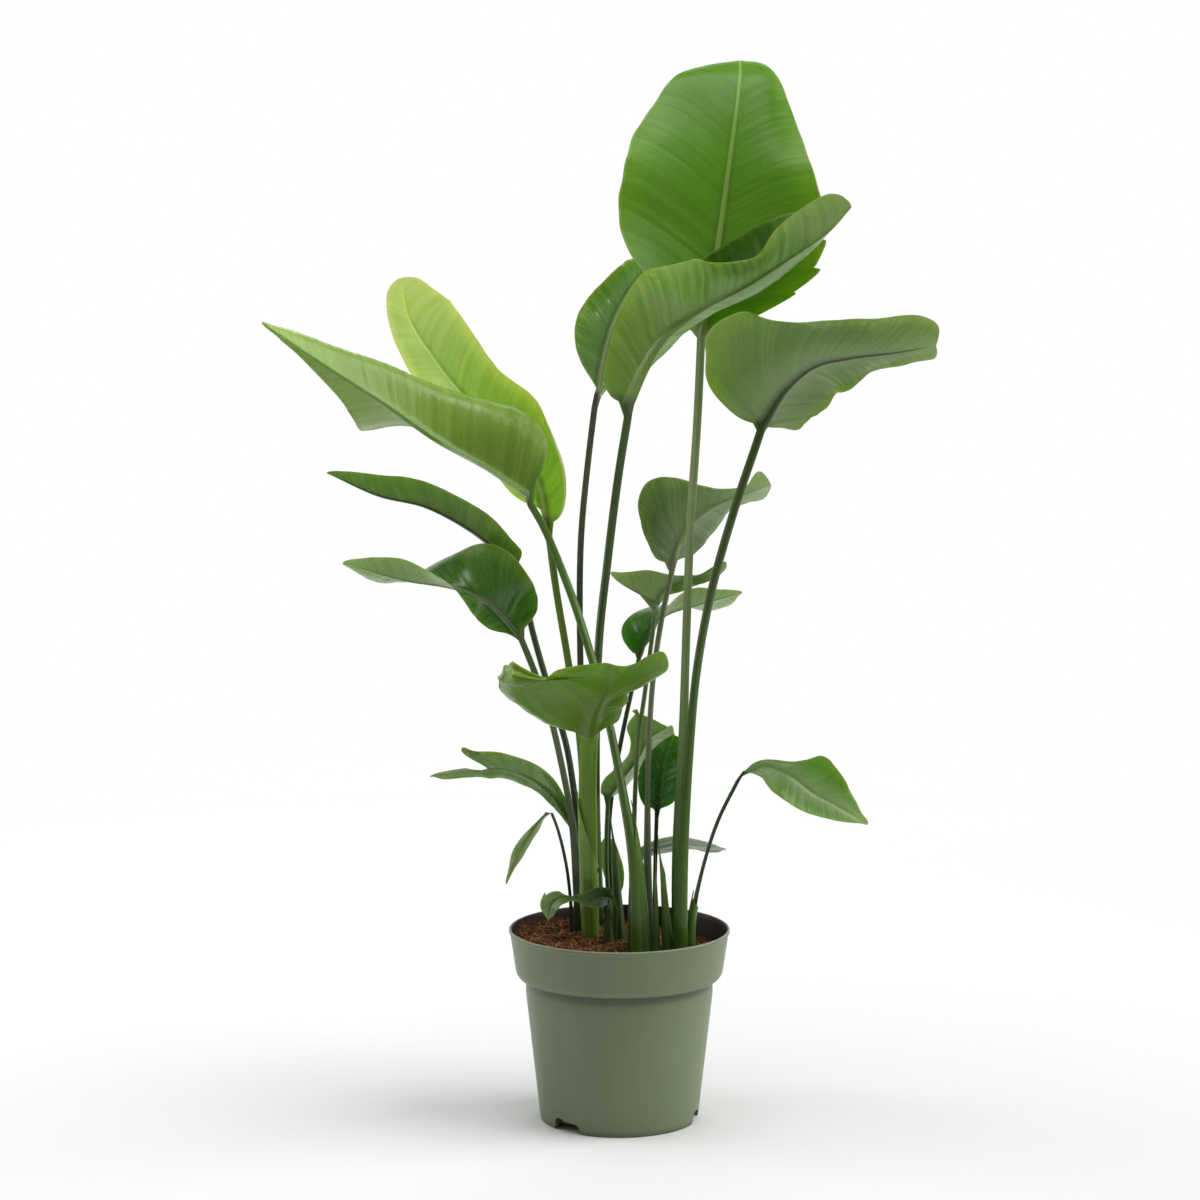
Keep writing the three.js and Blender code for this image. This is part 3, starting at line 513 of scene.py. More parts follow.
def along(values, t):
    """A value read smoothly from a list of values at even steps of t, from 0 to 1."""
    values = np.array(values, float)
    last = len(values) - 1
    place = np.clip(t, 0, 0.9999) * last
    k = np.floor(place).astype(int)
    a, b, c, d = (values[np.clip(k + i, 0, last)] for i in (-1, 0, 1, 2))
    f = (place - k)[..., None] if values.ndim == 2 else place - k
    return b + 0.5 * f * (c - a + f * (2 * a - 5 * b + 4 * c - d + f * (3 * (b - c) + d - a)))


def unit(vectors):
    """Each vector at a length of 1."""
    return vectors / np.linalg.norm(vectors, axis=-1, keepdims=True)


def smooth(value, low, high):
    """0 below the low end, 1 above the high end and an even slope between them."""
    f = np.clip((value - low) / (high - low), 0, 1)
    return f * f * (3 - 2 * f)


def route_through(points):
    """Places close together on a smooth line through the points, and how far along it they are."""
    points = [Vector(point) for point in points]
    ends = [2 * points[0] - points[1]] + points + [2 * points[-1] - points[-2]]
    places = []
    for a, b, c, d in zip(ends, ends[1:], ends[2:], ends[3:]):
        before, here, after = (math.sqrt((q - p).length) for p, q in ((a, b), (b, c), (c, d)))
        leaving = ((b - a) / before - (c - a) / (before + here) + (c - b) / here) * here
        coming = ((c - b) / here - (d - b) / (here + after) + (d - c) / after) * here
        for j in range(ROUTE_STEPS):
            f = j / ROUTE_STEPS
            places.append(b * (2 * f ** 3 - 3 * f ** 2 + 1) + leaving * (f ** 3 - 2 * f ** 2 + f)
                          + c * (3 * f ** 2 - 2 * f ** 3) + coming * (f ** 3 - f ** 2))
    places = np.array([tuple(place) for place in places] + [tuple(points[-1])])
    lengths = np.concatenate([[0], np.cumsum(np.linalg.norm(np.diff(places, axis=0), axis=1))])
    return places, lengths


def on_route(route, share):
    """The places and directions at shares of a route's length."""
    places, lengths = route
    ways = unit(np.gradient(places, lengths, axis=0))
    distance = np.asarray(share) * lengths[-1]
    place = np.stack([np.interp(distance, lengths, places[:, k]) for k in range(3)], axis=-1)
    way = np.stack([np.interp(distance, lengths, ways[:, k]) for k in range(3)], axis=-1)
    return place, unit(way)


def axes_at(route, share, facing):
    """Places on a route with their ways forward, up towards the facing, and to the right."""
    place, forward = on_route(route, share)
    up = unit(facing - forward * np.sum(facing * forward, axis=-1, keepdims=True))
    return place, forward, up, np.cross(forward, up)


def stalk_skin(leaf, climb, share, under):
    """Sheath and stalk: an oval that narrows upwards, with a channel down its upper face."""
    route = route_through(leaf["stalk"])
    start = np.array([0, math.copysign(1, leaf["face"][0][1]), 0])
    turn = smooth(climb, 0.55, 1)[..., None]
    facing = start * (1 - turn) + np.array(leaf["face"][0], float) * turn
    place, forward, up, side = axes_at(route, climb, facing)
    narrowing = smooth(climb, 0, leaf["sheath"])
    half, back, front = (foot + (neck - foot) * narrowing for foot, neck in zip(leaf["foot"], leaf["neck"]))
    half = half * along(leaf["girth"], climb)
    x = half * np.sin(math.pi / 2 * STALK_EDGE * share)
    bow = np.sqrt(np.clip(1 - (x / half) ** 2, 0, 1))
    channel = CHANNEL * np.abs(front) * np.exp(-(x / (0.3 * half)) ** 2)
    height = np.where(under, -back * bow, front * bow - channel)
    return place + side * x[..., None] + up * height[..., None]


def ragged(step, shift):
    """Small unevenness of a margin, from -1 to 1, from the share of the blade's rows."""
    fine = 0.7 * np.sin(97 * step + 4.1 * shift)
    return (np.sin(19 * step + shift) + np.sin(43 * step + 2.3 * shift) + fine) / 2.7


def blade_skin(leaf, t, share, under, index):
    """Blade: each half rises from the midrib by its lift, bends on by its curl and rolls at its hem."""
    route = route_through(leaf["rib"])
    length = route[1][-1]
    neck_half, neck_back, neck_front = leaf["neck"]
    step = np.arccos(np.clip(1 - 2 * t, -1, 1)) / math.pi
    base_half = neck_half * 0.92 * (1 - smooth(step, 0, 0.3))
    bulge = (neck_back + neck_front) * np.clip(1 - t, 0, 1) ** 1.3
    bulge_half = neck_half + (1.5 - neck_half) * t
    points = np.zeros(t.shape + (3,))
    across = np.zeros_like(t)
    vein = np.zeros_like(t)
    for sign, name in ((-1, "left"), (1, "right")):
        half = PLAIN_HALF | leaf[name]
        mine = share <= 0 if sign < 0 else share > 0
        shift = 2.1 * index + sign
        width = np.maximum(along(half["widths"], step), 0)
        edge = width + base_half + 0.7 + RAGGED * width * ragged(step, shift)
        for start, depth, length_of in half["nicks"]:
            into = (step - start) / length_of
            edge -= np.where((into >= 0) & (into < 1), depth * (1 - into), 0)
        out = np.abs(share) * edge
        place = t * length + out * along(half["sweep"], t) * (1 - leaf["calm"] * smooth(t, 0.8, 1))
        at = np.clip(place / length, 0, 1)
        spot, forward, up, side = axes_at(route, at, along(leaf["face"], at))
        lift = np.radians(along(half["lift"], at))
        curl = np.radians(along(half["curl"], at)) / 100
        hem = np.radians(along(half["hem"], at))
        x, y = np.zeros_like(t), np.zeros_like(t)
        for k in range(BEND_STEPS):
            part = (k + 0.5) / BEND_STEPS * out
            bend = lift + curl * part + hem * smooth(part / edge, half["hem_from"], 1.1)
            x += np.cos(bend) * out / BEND_STEPS
            y += np.sin(bend) * out / BEND_STEPS
        bend = lift + curl * out + hem * smooth(out / edge, half["hem_from"], 1.1)
        normal = up * np.cos(bend)[..., None] - sign * side * np.sin(bend)[..., None]
        point = spot + forward * (place - at * length)[..., None]
        point += side * (sign * x)[..., None] + up * y[..., None]
        height, count, phase = leaf["wave"]
        waves = np.sin(2 * math.pi * count * at + phase * (2 + sign))
        ripple = height * np.sin(math.pi * at) * share ** 2 * waves
        ripple += FRILL * height * np.sin(math.pi * t) * np.abs(share) ** 3 * ragged(step, shift + 1)
        root = place - out * along(LEAN, t) * (1 - 0.3 * share ** 2)
        pleat = np.sin(2 * math.pi * root / PLEAT + 1.2 * np.sin(root / 9 + shift))
        pleat = pleat + 0.6 * np.sin(root / 2.9 + shift)
        fading = leaf["pleats"] * (1 - smooth(t, 0.86, 0.97)) * smooth(out, 3, 16)
        pleat *= fading * (1 - smooth(np.abs(share), 0.85, 1)) * min(1, edge.max() / 60)
        swell = np.sin(5.3 * t + 2.9 * share + shift) * np.sin(9.1 * t - 3.7 * share + 2 * shift)
        swell *= leaf["swell"] * edge.max() * np.abs(share) * np.sin(math.pi * t)
        groove = (0.9 * (1 - t) + 0.25) * np.exp(-(out / (0.45 * bulge_half)) ** 2)
        thick = BLADE_THICKNESS * (1 - 0.5 * smooth(np.abs(share), 0.6, 1)) * (1 - 0.4 * smooth(t, 0.7, 1))
        thick += bulge * np.exp(-(out / bulge_half) ** 2)
        lower = np.where(under, -thick, -groove)
        point += normal * (ripple + swell + pleat + lower)[..., None]
        points = np.where(mine[..., None], point, points)
        across = np.where(mine, out, across)
        vein = np.where(mine, root + VEIN_SHIFT * sign, vein)
    return points, across / bulge_half, vein


def grow(leaf, index):
    """The leaf's closed skin: a grid rolled round the section, its rows running from foot to tip."""
    halves, stalk_rows, blade_rows = FINE_GRID if leaf["fine"] else PLAIN_GRID
    across = 2 * halves
    columns = 2 * across + 2
    rows = stalk_rows + blade_rows
    sheet = bmesh.new()
    bmesh.ops.create_grid(sheet, x_segments=columns, y_segments=rows, size=1.0)
    mesh = mesh_of(sheet, leaf["name"])
    spots = np.zeros(len(mesh.vertices) * 3)
    mesh.vertices.foreach_get("co", spots)
    spots = spots.reshape(-1, 3)
    column = np.rint((spots[:, 0] + 1) / 2 * columns).astype(int) % columns
    row = np.rint((spots[:, 1] + 1) / 2 * rows).astype(int)
    under = column > across
    even = np.where(under, 2 * across + 1 - column, column) / halves - 1
    share = np.sign(even) * np.abs(even) ** COLUMN_CROWDING
    climb = np.clip(row / stalk_rows, 0, 1)
    step = np.clip((row - stalk_rows) / blade_rows, 0, 1)
    t = step - ROW_CROWDING * np.sin(2 * math.pi * step)
    blade = row > stalk_rows
    stalk_points = stalk_skin(leaf, climb, share, under)
    blade_points, rib, vein = blade_skin(leaf, t, share, under, index)
    points = np.where(blade[:, None], blade_points, stalk_points) * MM
    mesh.vertices.foreach_set("co", points.ravel())
    marks = {
        "vein": np.where(blade, vein * MM, 0), "share": np.abs(share), "rib": np.clip(rib, 0, 30),
        "under": under, "blade": smooth(t, 0, 0.05), "climb": climb, "reach": t, "around": share + 3 * under,
    }
    for name in MARKS:
        mark = mesh.attributes.new(name, "FLOAT", "POINT")
        mark.data.foreach_set("value", np.asarray(marks[name], np.float32))
    skin = bmesh.new()
    skin.from_mesh(mesh)
    bmesh.ops.remove_doubles(skin, verts=skin.verts, dist=1e-7)
    bmesh.ops.holes_fill(skin, edges=[edge for edge in skin.edges if edge.is_boundary])
    bmesh.ops.recalc_face_normals(skin, faces=skin.faces)
    skin.to_mesh(mesh)
    skin.free()
    return mesh


SKIN_COLOURS = ("Upper", "Upper Tip", "Under", "Under Tip", "Rib", "Foot", "Stalk")
SKIN_VALUES = ("Veins", "Dullness", "Bloom_And_Sheen", "Relief")
SKIN_RESULTS = {"Color": "Base Color", "Roughness": "Roughness", "Normal": "Normal"}


def leaf_group():
    """The colour, roughness and relief of a leaf's skin, read from the marks on its mesh."""
    group = bpy.data.node_groups.new("leaf_skin", "ShaderNodeTree")
    sockets = [
        ("INPUT", "Color", SKIN_COLOURS), ("INPUT", "Float", SKIN_VALUES), ("OUTPUT", "Color", ["Color"]),
        ("OUTPUT", "Float", ["Roughness"]), ("OUTPUT", "Vector", ["Normal"]),
    ]
    for way, kind, names in sockets:
        for name in names:
            group.interface.new_socket(name, in_out=way, socket_type="NodeSocket" + kind)
    given = group.nodes.new("NodeGroupInput").outputs
    result = group.nodes.new("NodeGroupOutput").inputs
    marks = {name: put(group, "Attribute", attribute_name=name).outputs["Fac"] for name in MARKS}
    places = put(group, "TexCoord").outputs["Object"]

    def math_of(operation, first, second=0.0):
        return put(group, "Math", {0: first, 1: second}, operation=operation).outputs[0]

    def times(first, second):
        return math_of("MULTIPLY", first, second)

    def plus(first, second):
        return math_of("ADD", first, second)

    def ranged(value, low, high, start=0.0, end=1.0):
        values = {"Value": value, "From Min": low, "From Max": high, "To Min": start, "To Max": end}
        return put(group, "MapRange", values).outputs[0]

    def mixed(share, first, second, blend_type="MIX"):
        values = {"Fac": share, "Color1": first, "Color2": second}
        return put(group, "MixRGB", values, blend_type=blend_type).outputs[0]

    def tinted(base, share, colour, blend_type="MULTIPLY"):
        return mixed(share, base, mixed(1.0, base, colour, blend_type))

    def cloud(scale, detail=3.0):
        return put(group, "TexNoise", {"Vector": places, "Scale": scale, "Detail": detail}).outputs["Fac"]

    def stripes(place, step, detail=1.0):
        values = {"W": place, "Scale": 1 / step, "Detail": detail}
        return put(group, "TexNoise", values, noise_dimensions="1D").outputs["Fac"]

    patches = cloud(16.0)
    clouds = cloud(7.0, 2.0)
    fine = cloud(420.0, 1.0)
    drifted = plus(marks["vein"], times(cloud(30.0, 1.0), 0.004))
    inside = times(ranged(marks["rib"], 0.8, 2.4), ranged(marks["share"], 1.0, 0.9))
    broad = stripes(drifted, 0.013, 2.0)
    close = stripes(drifted, 0.0034, 2.0)
    lines = math_of("ABSOLUTE", math_of("SUBTRACT", stripes(drifted, 0.008, 0.0), 0.5))
    lines = times(times(ranged(lines, 0.0, 0.035, 1.0, 0.0), inside), ranged(patches, 0.42, 0.62))
    lines = times(lines, given["Veins"])

    upper = mixed(ranged(marks["reach"], 0.1, 0.95), given["Upper"], given["Upper Tip"])
    under = mixed(ranged(marks["reach"], 0.1, 0.95), given["Under"], given["Under Tip"])
    skin = mixed(marks["under"], upper, under)
    skin = tinted(skin, ranged(clouds, 0.35, 0.65, 0.0, 0.35), paint(200, 208, 176))
    skin = tinted(skin, ranged(broad, 0.35, 0.65, 0.0, 0.3), paint(186, 196, 160))
    skin = tinted(skin, ranged(close, 0.3, 0.7, 0.0, 0.2), paint(160, 180, 130))
    skin = tinted(skin, times(lines, 0.5), paint(120, 140, 100), "SCREEN")
    skin = mixed(ranged(marks["share"], 0.972, 0.992, 0.0, 0.35), skin, paint(150, 165, 100))
    # Pale grey near the midrib: partly the leaf's waxy bloom, partly painted sheen.
    bloom_and_sheen = times(ranged(marks["rib"], 1.5, 14.0, 1.0, 0.0), ranged(clouds, 0.3, 0.6, 0.5, 1.0))
    skin = mixed(times(bloom_and_sheen, given["Bloom_And_Sheen"]), skin, paint(150, 158, 134))
    rib = times(ranged(marks["rib"], 0.5, 1.0, 1.0, 0.0), ranged(marks["reach"], 0.9, 0.97, 1.0, 0.2))
    skin = mixed(rib, skin, given["Rib"])

    bands = stripes(marks["around"], 0.16, 2.0)
    stalk = mixed(ranged(marks["climb"], 0.05, 0.75), given["Foot"], given["Stalk"])
    stalk = tinted(stalk, ranged(bands, 0.35, 0.65, 0.0, 0.6), paint(190, 196, 160))
    stalk = tinted(stalk, ranged(patches, 0.4, 0.7, 0.0, 0.3), paint(200, 190, 150))
    group.links.new(mixed(marks["blade"], stalk, skin), result["Color"])

    dull = plus(given["Dullness"], ranged(patches, 0.3, 0.7, -0.05, 0.05))
    dull = plus(dull, times(marks["under"], 0.1))
    group.links.new(plus(dull, ranged(close, 0.3, 0.7, -0.04, 0.04)), result["Roughness"])
    relief = plus(times(close, 0.5), times(broad, 1.6))
    relief = times(plus(relief, times(lines, 0.25)), inside)
    relief = times(times(relief, given["Relief"]), ranged(marks["reach"], 0.88, 0.97, 1.0, 0.0))
    relief = plus(times(relief, marks["blade"]), times(fine, 0.05))
    bump = put(group, "Bump", {"Strength": 0.35, "Distance": 0.0012, "Height": relief})
    group.links.new(bump.outputs[0], result["Normal"])
    return group


leaf_skin = leaf_group()


def skin_finish(name, inputs, **surface):
    """A material whose surface is fed by the leaf skin with these colours and values."""
    material, tree, shader = finish(name + "_skin", **surface)
    skin = put(tree, "Group", inputs, node_tree=leaf_skin)
    for result, socket in SKIN_RESULTS.items():
        tree.links.new(skin.outputs[result], shader.inputs[socket])
    return material


# A leaf's entry, in mm. stalk: the route of sheath and stalk from the pocket in the peat up to the blade.
# foot and neck: half width, depth behind and depth in front at the stalk's two ends. sheath: the share
# of the stalk over which it narrows. girth: its fullness on the way up. rib: the route of the midrib.
# face: where the upper face looks. wave: height, number and start of the waves of the margin.
# calm: how far the sweep fades at the tip. pleats: their depth. swell: the depth of the soft bulges, as a
# share of the blade's width. The rest is the look: paint names its greens, and colours holds its own ones.
# Every stalk starts at STALK_FOOT, below the peat's surface.
STALK_FOOT = 168.4
GREENS = {
    "middle": dict(upper=(70, 116, 30), upper_tip=(84, 130, 36), under=(96, 124, 58),
                   under_tip=(104, 130, 72), rib=(128, 158, 76), foot=(58, 88, 28), stalk=(84, 112, 50)),
    "dark": dict(upper=(40, 72, 22), upper_tip=(56, 88, 34), under=(84, 106, 60),
                 under_tip=(98, 118, 78), rib=(88, 116, 56), foot=(44, 54, 34), stalk=(66, 74, 56)),
    "young": dict(upper=(118, 152, 40), upper_tip=(160, 186, 84), under=(132, 164, 66),
                  under_tip=(150, 176, 90), rib=(150, 180, 84), foot=(86, 118, 36), stalk=(112, 144, 52)),
    "bright": dict(upper=(96, 140, 40), upper_tip=(104, 148, 46), under=(84, 112, 44),
                   under_tip=(98, 126, 56), rib=(90, 120, 50), foot=(88, 122, 44), stalk=(98, 136, 46)),
    "pale": dict(upper=(66, 98, 40), upper_tip=(84, 112, 56), under=(110, 128, 86),
                 under_tip=(122, 140, 98), rib=(112, 136, 80), foot=(58, 80, 40), stalk=(82, 100, 62)),
}
PLAIN_LEAF = {
    "fine": False, "sheath": 0.5, "girth": [1, 1], "wave": (1.5, 2, 0), "calm": 0.7, "pleats": 0.3,
    "swell": 0.045, "veins": 0.5, "dullness": 0.28, "bloom_and_sheen": 0.0, "relief": 0.8, "coat": 0.06,
    "shine": 0.35, "glow": 0.3, "colours": {},
}
# Each half of a blade, from base to tip. widths: how far it reaches from the midrib. lift: degrees by which
# it is raised. curl: degrees by which 100 mm of it bends on. sweep: how far it leans to the tip for each
# mm out. hem: degrees by which the margin rolls, from the share hem_from on. nicks: place, depth, length.
# The widths and sweeps of 30 of the 40 halves weren't chosen by hand: they come from a least squares fit of
# the margins to points picked on the photograph, and some of them were changed afterwards.
PLAIN_HALF = {
    "lift": [20, 20, 10], "curl": [10, 10, 0], "sweep": [0, 0.25, 0.6], "hem": [0, 0], "hem_from": 0.45,
    "nicks": [],
}
LEAVES = [dict(
    name="tall_upright", paint="middle", fine=True, veins=0.35, dullness=0.34, relief=0.3, shine=0.2,
        pleats=0.08, wave=(4, 2.5, 0),
    colours=dict(upper=(86, 124, 28), upper_tip=(92, 136, 32), rib=(128, 164, 72), foot=(66, 104, 24),
        stalk=(160, 178, 130)),
    stalk=[(66, -24, STALK_FOOT), (64, -28, 301), (68, -26, 421), (71, -18, 527), (76, -4, 655),
        (83, 8, 761), (87, 16, 848)], foot=(9, 6, 4), neck=(4.5, 7, -1),
    rib=[(87, 17, 850), (99, 30, 909), (110, 48, 978), (120, 68, 1048), (127, 88, 1098), (131, 110, 1132),
        (132, 136, 1146), (132, 156, 1139)], face=[(0.1, -1, 0.1), (0, -1, 0.3), (0, -0.6, 1)],
    left=dict(widths=[0, 40, 104, 113, 96, 66, 31, 0], lift=[15, 12, 8, 0, -10], curl=[10, 0, -10],
        sweep=[0.1, 0.2, 0.3]),
    right=dict(widths=[0, 40, 110, 104, 72, 42, 17, 0], lift=[15, 12, 8, 0, -10], curl=[10, 0, -10],
        nicks=[(0.24, 5, 0.05), (0.3, 8, 0.05), (0.36, 6, 0.05)], sweep=[0.1, 0.2, 0.3]),
), dict(
    name="front_trough", paint="middle", fine=True, dullness=0.22, bloom_and_sheen=0.15, relief=1.2, coat=0.2,
        pleats=0.6, calm=0.1, wave=(3, 3, 1),
    colours=dict(upper=(60, 96, 30), under=(130, 166, 56), under_tip=(150, 178, 110), rib=(112, 146, 52),
        foot=(70, 98, 34), stalk=(84, 104, 56)),
    stalk=[(-22, 75, STALK_FOOT), (-26, 66, 300), (-26, 55, 388), (-22, 46, 519), (-13, 38, 606),
        (-2, 24, 705), (7, 12, 765)], foot=(7, 5, 4), neck=(4.5, 7, -1),
    rib=[(9, 7, 779), (25, -6, 815), (47, -22, 850), (86, -42, 881), (132, -62, 906), (178, -78, 936),
        (214, -88, 961), (238, -92, 987)], face=[(-0.5, 0.3, 0.8), (-0.5, 0.3, 0.8), (-0.4, 0.2, 0.9)],
    left=dict(widths=[0, 51, 90, 104, 116, 112, 58, 0], lift=[40, -10, -30, -30, -10, 30], curl=[20, 80,
        150, 160, 120, 60, 0], sweep=[0.02, 0.09, 0.18, 0.23, 0.16, -0.05, 0.02, 0.23]),
    right=dict(widths=[0, 18, 35, 44, 56, 67, 65, 28, 41, 35, 18, 0], lift=[78, 75, 30, 40, 55], curl=[15,
        10, 0], sweep=[-0.44, -0.45, -0.39, -0.41, -0.39, -0.33, -0.19, -0.47, -0.56, -0.32, 0.24, 0.52]),
), dict(
    # Strong veins: this leaf's light vein lines also stand in for its glossy streaks, a painted highlight.
    name="back_trough", paint="dark", veins=2, dullness=0.05, bloom_and_sheen=0.3, relief=1.8, coat=0.4, shine=0.6,
        pleats=0.7, swell=0.12, wave=(2, 2, 0),
    colours=dict(upper=(104, 142, 54), upper_tip=(112, 150, 62), under=(132, 156, 100), rib=(170, 184, 140),
        foot=(64, 72, 50), stalk=(100, 102, 88)),
    stalk=[(-30, 84, STALK_FOOT), (-32, 76, 338), (-40, 82, 425), (-43, 90, 513), (-42, 94, 623),
        (-34, 94, 711), (-27, 92, 769)], foot=(6, 4.5, 4), neck=(3.5, 5.5, -1),
    rib=[(-24, 92, 781), (-19, 98, 815), (-8, 106, 858), (12, 116, 896), (39, 128, 927)],
        face=[(-0.2, -0.9, 0.3)] * 3,
    left=dict(widths=[0, 0, 24, 38, 33, 24, 13, 0], lift=[20, 10, 5], sweep=[0.4, 0.25, 0.14, 0.16, 0.14,
        -0.03, 0.53, 0.47]),
    right=dict(widths=[0, 14, 32, 42, 40, 30, 18, 0], lift=[40, 30, 20]),
), dict(
    name="right_large", paint="middle", fine=True, dullness=0.24, bloom_and_sheen=0.5, relief=0.7, coat=0.12,
        shine=0.3, pleats=0.4, calm=0.1, wave=(3, 3, 1),
    colours=dict(under=(102, 130, 42), under_tip=(106, 126, 66), rib=(62, 84, 34), foot=(70, 108, 28),
        stalk=(76, 98, 44)),
    stalk=[(64, -48, STALK_FOOT), (67, -47, 300), (75, -38, 421), (82, -40, 498), (97, -50, 585),
        (121, -62, 676), (138, -70, 730), (146, -73, 755)], foot=(8, 6, 4), neck=(4.5, 6.5, -1),
    rib=[(149, -74, 762), (172, -84, 800), (201, -94, 824), (237, -102, 833), (281, -104, 838),
        (326, -98, 845)], face=[(-0.3, 0.75, 0.6), (-0.3, 0.75, 0.6), (-0.1, 0.7, 0.7)],
    left=dict(widths=[0, 17, 46, 56, 68, 47, 30, 20, 21, 0], lift=[5, 5, 5], curl=[0, 0, 0], sweep=[-0.2,
        -0.4, -0.52, -0.62, -0.48, -0.28, -0.34, -0.53, -0.08, 0.42]),
    right=dict(widths=[0, 23, 52, 99, 120, 85, 56, 53, 32, 0], lift=[20, 5, 0, 0, 0], curl=[10, 0, 0],
        sweep=[-0.44, -0.46, -0.17, -0.2, -0.19, -0.41, -0.62, -0.58, -0.2, 0.3]),
), dict(
    name="left_young", paint="young", fine=True, relief=0.4, coat=0.2, glow=0.7, pleats=0.1,
    colours=dict(upper=(172, 194, 82), upper_tip=(206, 220, 158), under=(172, 194, 96), rib=(196, 214, 120),
        foot=(104, 140, 46), stalk=(136, 160, 76)),
    stalk=[(-32, 46, STALK_FOOT), (-36, 45, 290), (-43, 44, 409), (-56, 58, 495), (-69, 72, 571),
        (-77, 80, 630)], foot=(6.5, 4.5, 4), neck=(4, 6, -1),
    rib=[(-79, 82, 642), (-91, 92, 692), (-122, 106, 736), (-170, 118, 780), (-206, 128, 824),
        (-233, 138, 868), (-240, 146, 909)], face=[(0, -1, 0.2), (0, -1, 0.3), (0, -1, 0.3)],
    left=dict(widths=[0, 0, 38, 42, 34, 22, 16, 0], lift=[30, 20, 5], curl=[10, 5, 0], sweep=[-0.43, -0.46,
        -0.08, 0.23, 0.3, 0.62, 0.88, 0.45]),
    right=dict(widths=[0, 20, 36, 48, 53, 49, 49, 51, 47, 32, 18, 0], lift=[30, 20, 5], curl=[10, 5, 0],
        hem=[110, 110, 20, 0, 0, 0], hem_from=0.6, sweep=[-0.1, -0.1, 0, 0, 0.15, 0.08, 0.08, 0.04, 0.1,
        0.35, 0.6, 0.48]),
), dict(
    name="left_large", paint="middle", fine=True, dullness=0.19, relief=0.6, coat=0.15, shine=0.4,
        pleats=0.2, wave=(2, 2, 0),
    colours=dict(upper=(84, 130, 30), under=(132, 166, 60), under_tip=(146, 174, 84), rib=(120, 160, 64),
        foot=(78, 112, 36), stalk=(98, 136, 56)),
    stalk=[(20, -52, STALK_FOOT), (15, -43, 293), (3, -25, 366), (-12, 2, 438), (-31, 22, 506),
        (-53, 34, 575), (-79, 40, 642), (-94, 40, 669)], foot=(7.5, 5, 4), neck=(4.5, 6.5, -1),
    rib=[(-99, 40, 676), (-140, 34, 705), (-193, 24, 737), (-251, 12, 778), (-319, 0, 823),
        (-379, -10, 866)], face=[(0.3, 0.3, 0.9), (0.3, 0.8, 0.5), (0.2, 0.97, 0.1)],
    left=dict(widths=[0, 60, 84, 82, 69, 43, 9, 0], lift=[70, 60, 62, 66, 70], curl=[10, 10, 20, 25, 20],
        hem=[20, 90, 110, 80, 10], hem_from=0.3, sweep=[0, 0.15, 0.25]),
    right=dict(widths=[0, 26, 43, 44, 26, 9, 72, 68, 14, 4, 2, 0], lift=[75, 75, 20, 5, 10], sweep=[0.17,
        -0.11, -0.5, -1.03, -1.3, -1.3, -0.62, -0.5, -1, -1.6, -0.5, 0]),
), dict(
    name="left_narrow", paint="middle", relief=1,
    colours=dict(upper=(60, 92, 28), under=(110, 142, 50), under_tip=(104, 138, 52), rib=(44, 66, 22),
        foot=(60, 72, 40), stalk=(76, 84, 58)),
    stalk=[(-24, 36, STALK_FOOT), (-36, 38, 260), (-48, 40, 343), (-58, 44, 404), (-78, 50, 469),
        (-93, 58, 523), (-104, 62, 572), (-111, 60, 588)], foot=(6, 4.5, 4), neck=(3.5, 5, -1),
    rib=[(-115, 56, 599), (-130, 48, 614), (-159, 34, 639), (-209, 20, 667), (-259, 10, 680),
        (-313, 2, 705)], face=[(0.3, 0.4, 0.85), (0.3, 0.5, 0.8), (0.1, 0.7, 0.7)],
    left=dict(widths=[0, 15, 20, 25, 26, 25, 8, 0], lift=[50, 45, 40], sweep=[-0.18, -0.65, -0.96, -1.02,
        -1.02, -1.14, -1.03, -0.41]),
    right=dict(widths=[0, 22, 30, 30, 24, 16, 6, 0], lift=[60, 50, 40]),
), dict(
    name="left_twisted", paint="dark", fine=True, dullness=0.22, relief=1, coat=0.2,
    colours=dict(upper=(60, 90, 34), upper_tip=(72, 108, 42), under=(126, 148, 92),
        under_tip=(134, 156, 96), rib=(96, 124, 60), foot=(66, 84, 44), stalk=(122, 134, 100)),
    stalk=[(-42, 33, STALK_FOOT), (-46, 30, 250), (-52, 28, 324), (-64, 29, 390), (-77, 30, 444),
        (-95, 28, 494), (-106, 26, 522)], foot=(6, 4.5, 4), neck=(3.5, 5, -1),
    rib=[(-110, 24, 528), (-126, 18, 547), (-146, 12, 567), (-177, 6, 581), (-230, 0, 590),
        (-296, -8, 609)], face=[(-0.3, -0.9, 0.4), (-0.3, -0.85, 0.4), (-0.1, 0, 1), (0.1, 0.6, 0.75),
        (0.1, 0.7, 0.7)],
    left=dict(widths=[0, 5, 19, 22, 30, 20, 9, 0], lift=[10, 20, 10], sweep=[-0.41, -0.53, -0.52, -0.4,
        0.19, 0.44, 0.43, 0.37]),
    right=dict(widths=[0, 34, 54, 56, 34, 20, 7, 0], lift=[10, 20, 10]),
), dict(
    name="inner_cupped", paint="dark", bloom_and_sheen=0.5, relief=1, coat=0.15,
    colours=dict(under=(76, 84, 62), under_tip=(134, 158, 98), rib=(118, 142, 84), foot=(70, 88, 44),
        stalk=(118, 126, 96)),
    stalk=[(32, -34, STALK_FOOT), (30, -28, 291), (31, -14, 397), (36, 4, 481), (45, 18, 544),
        (56, 28, 595)], foot=(6, 4.5, 4), neck=(3, 4.5, -0.8),
    rib=[(58, 30, 605), (66, 38, 628), (79, 44, 648), (100, 50, 663), (129, 54, 675), (165, 58, 687)],
        face=[(-0.3, 0.85, 0.4), (-0.3, 0.85, 0.4), (0, 0.5, 0.85)],
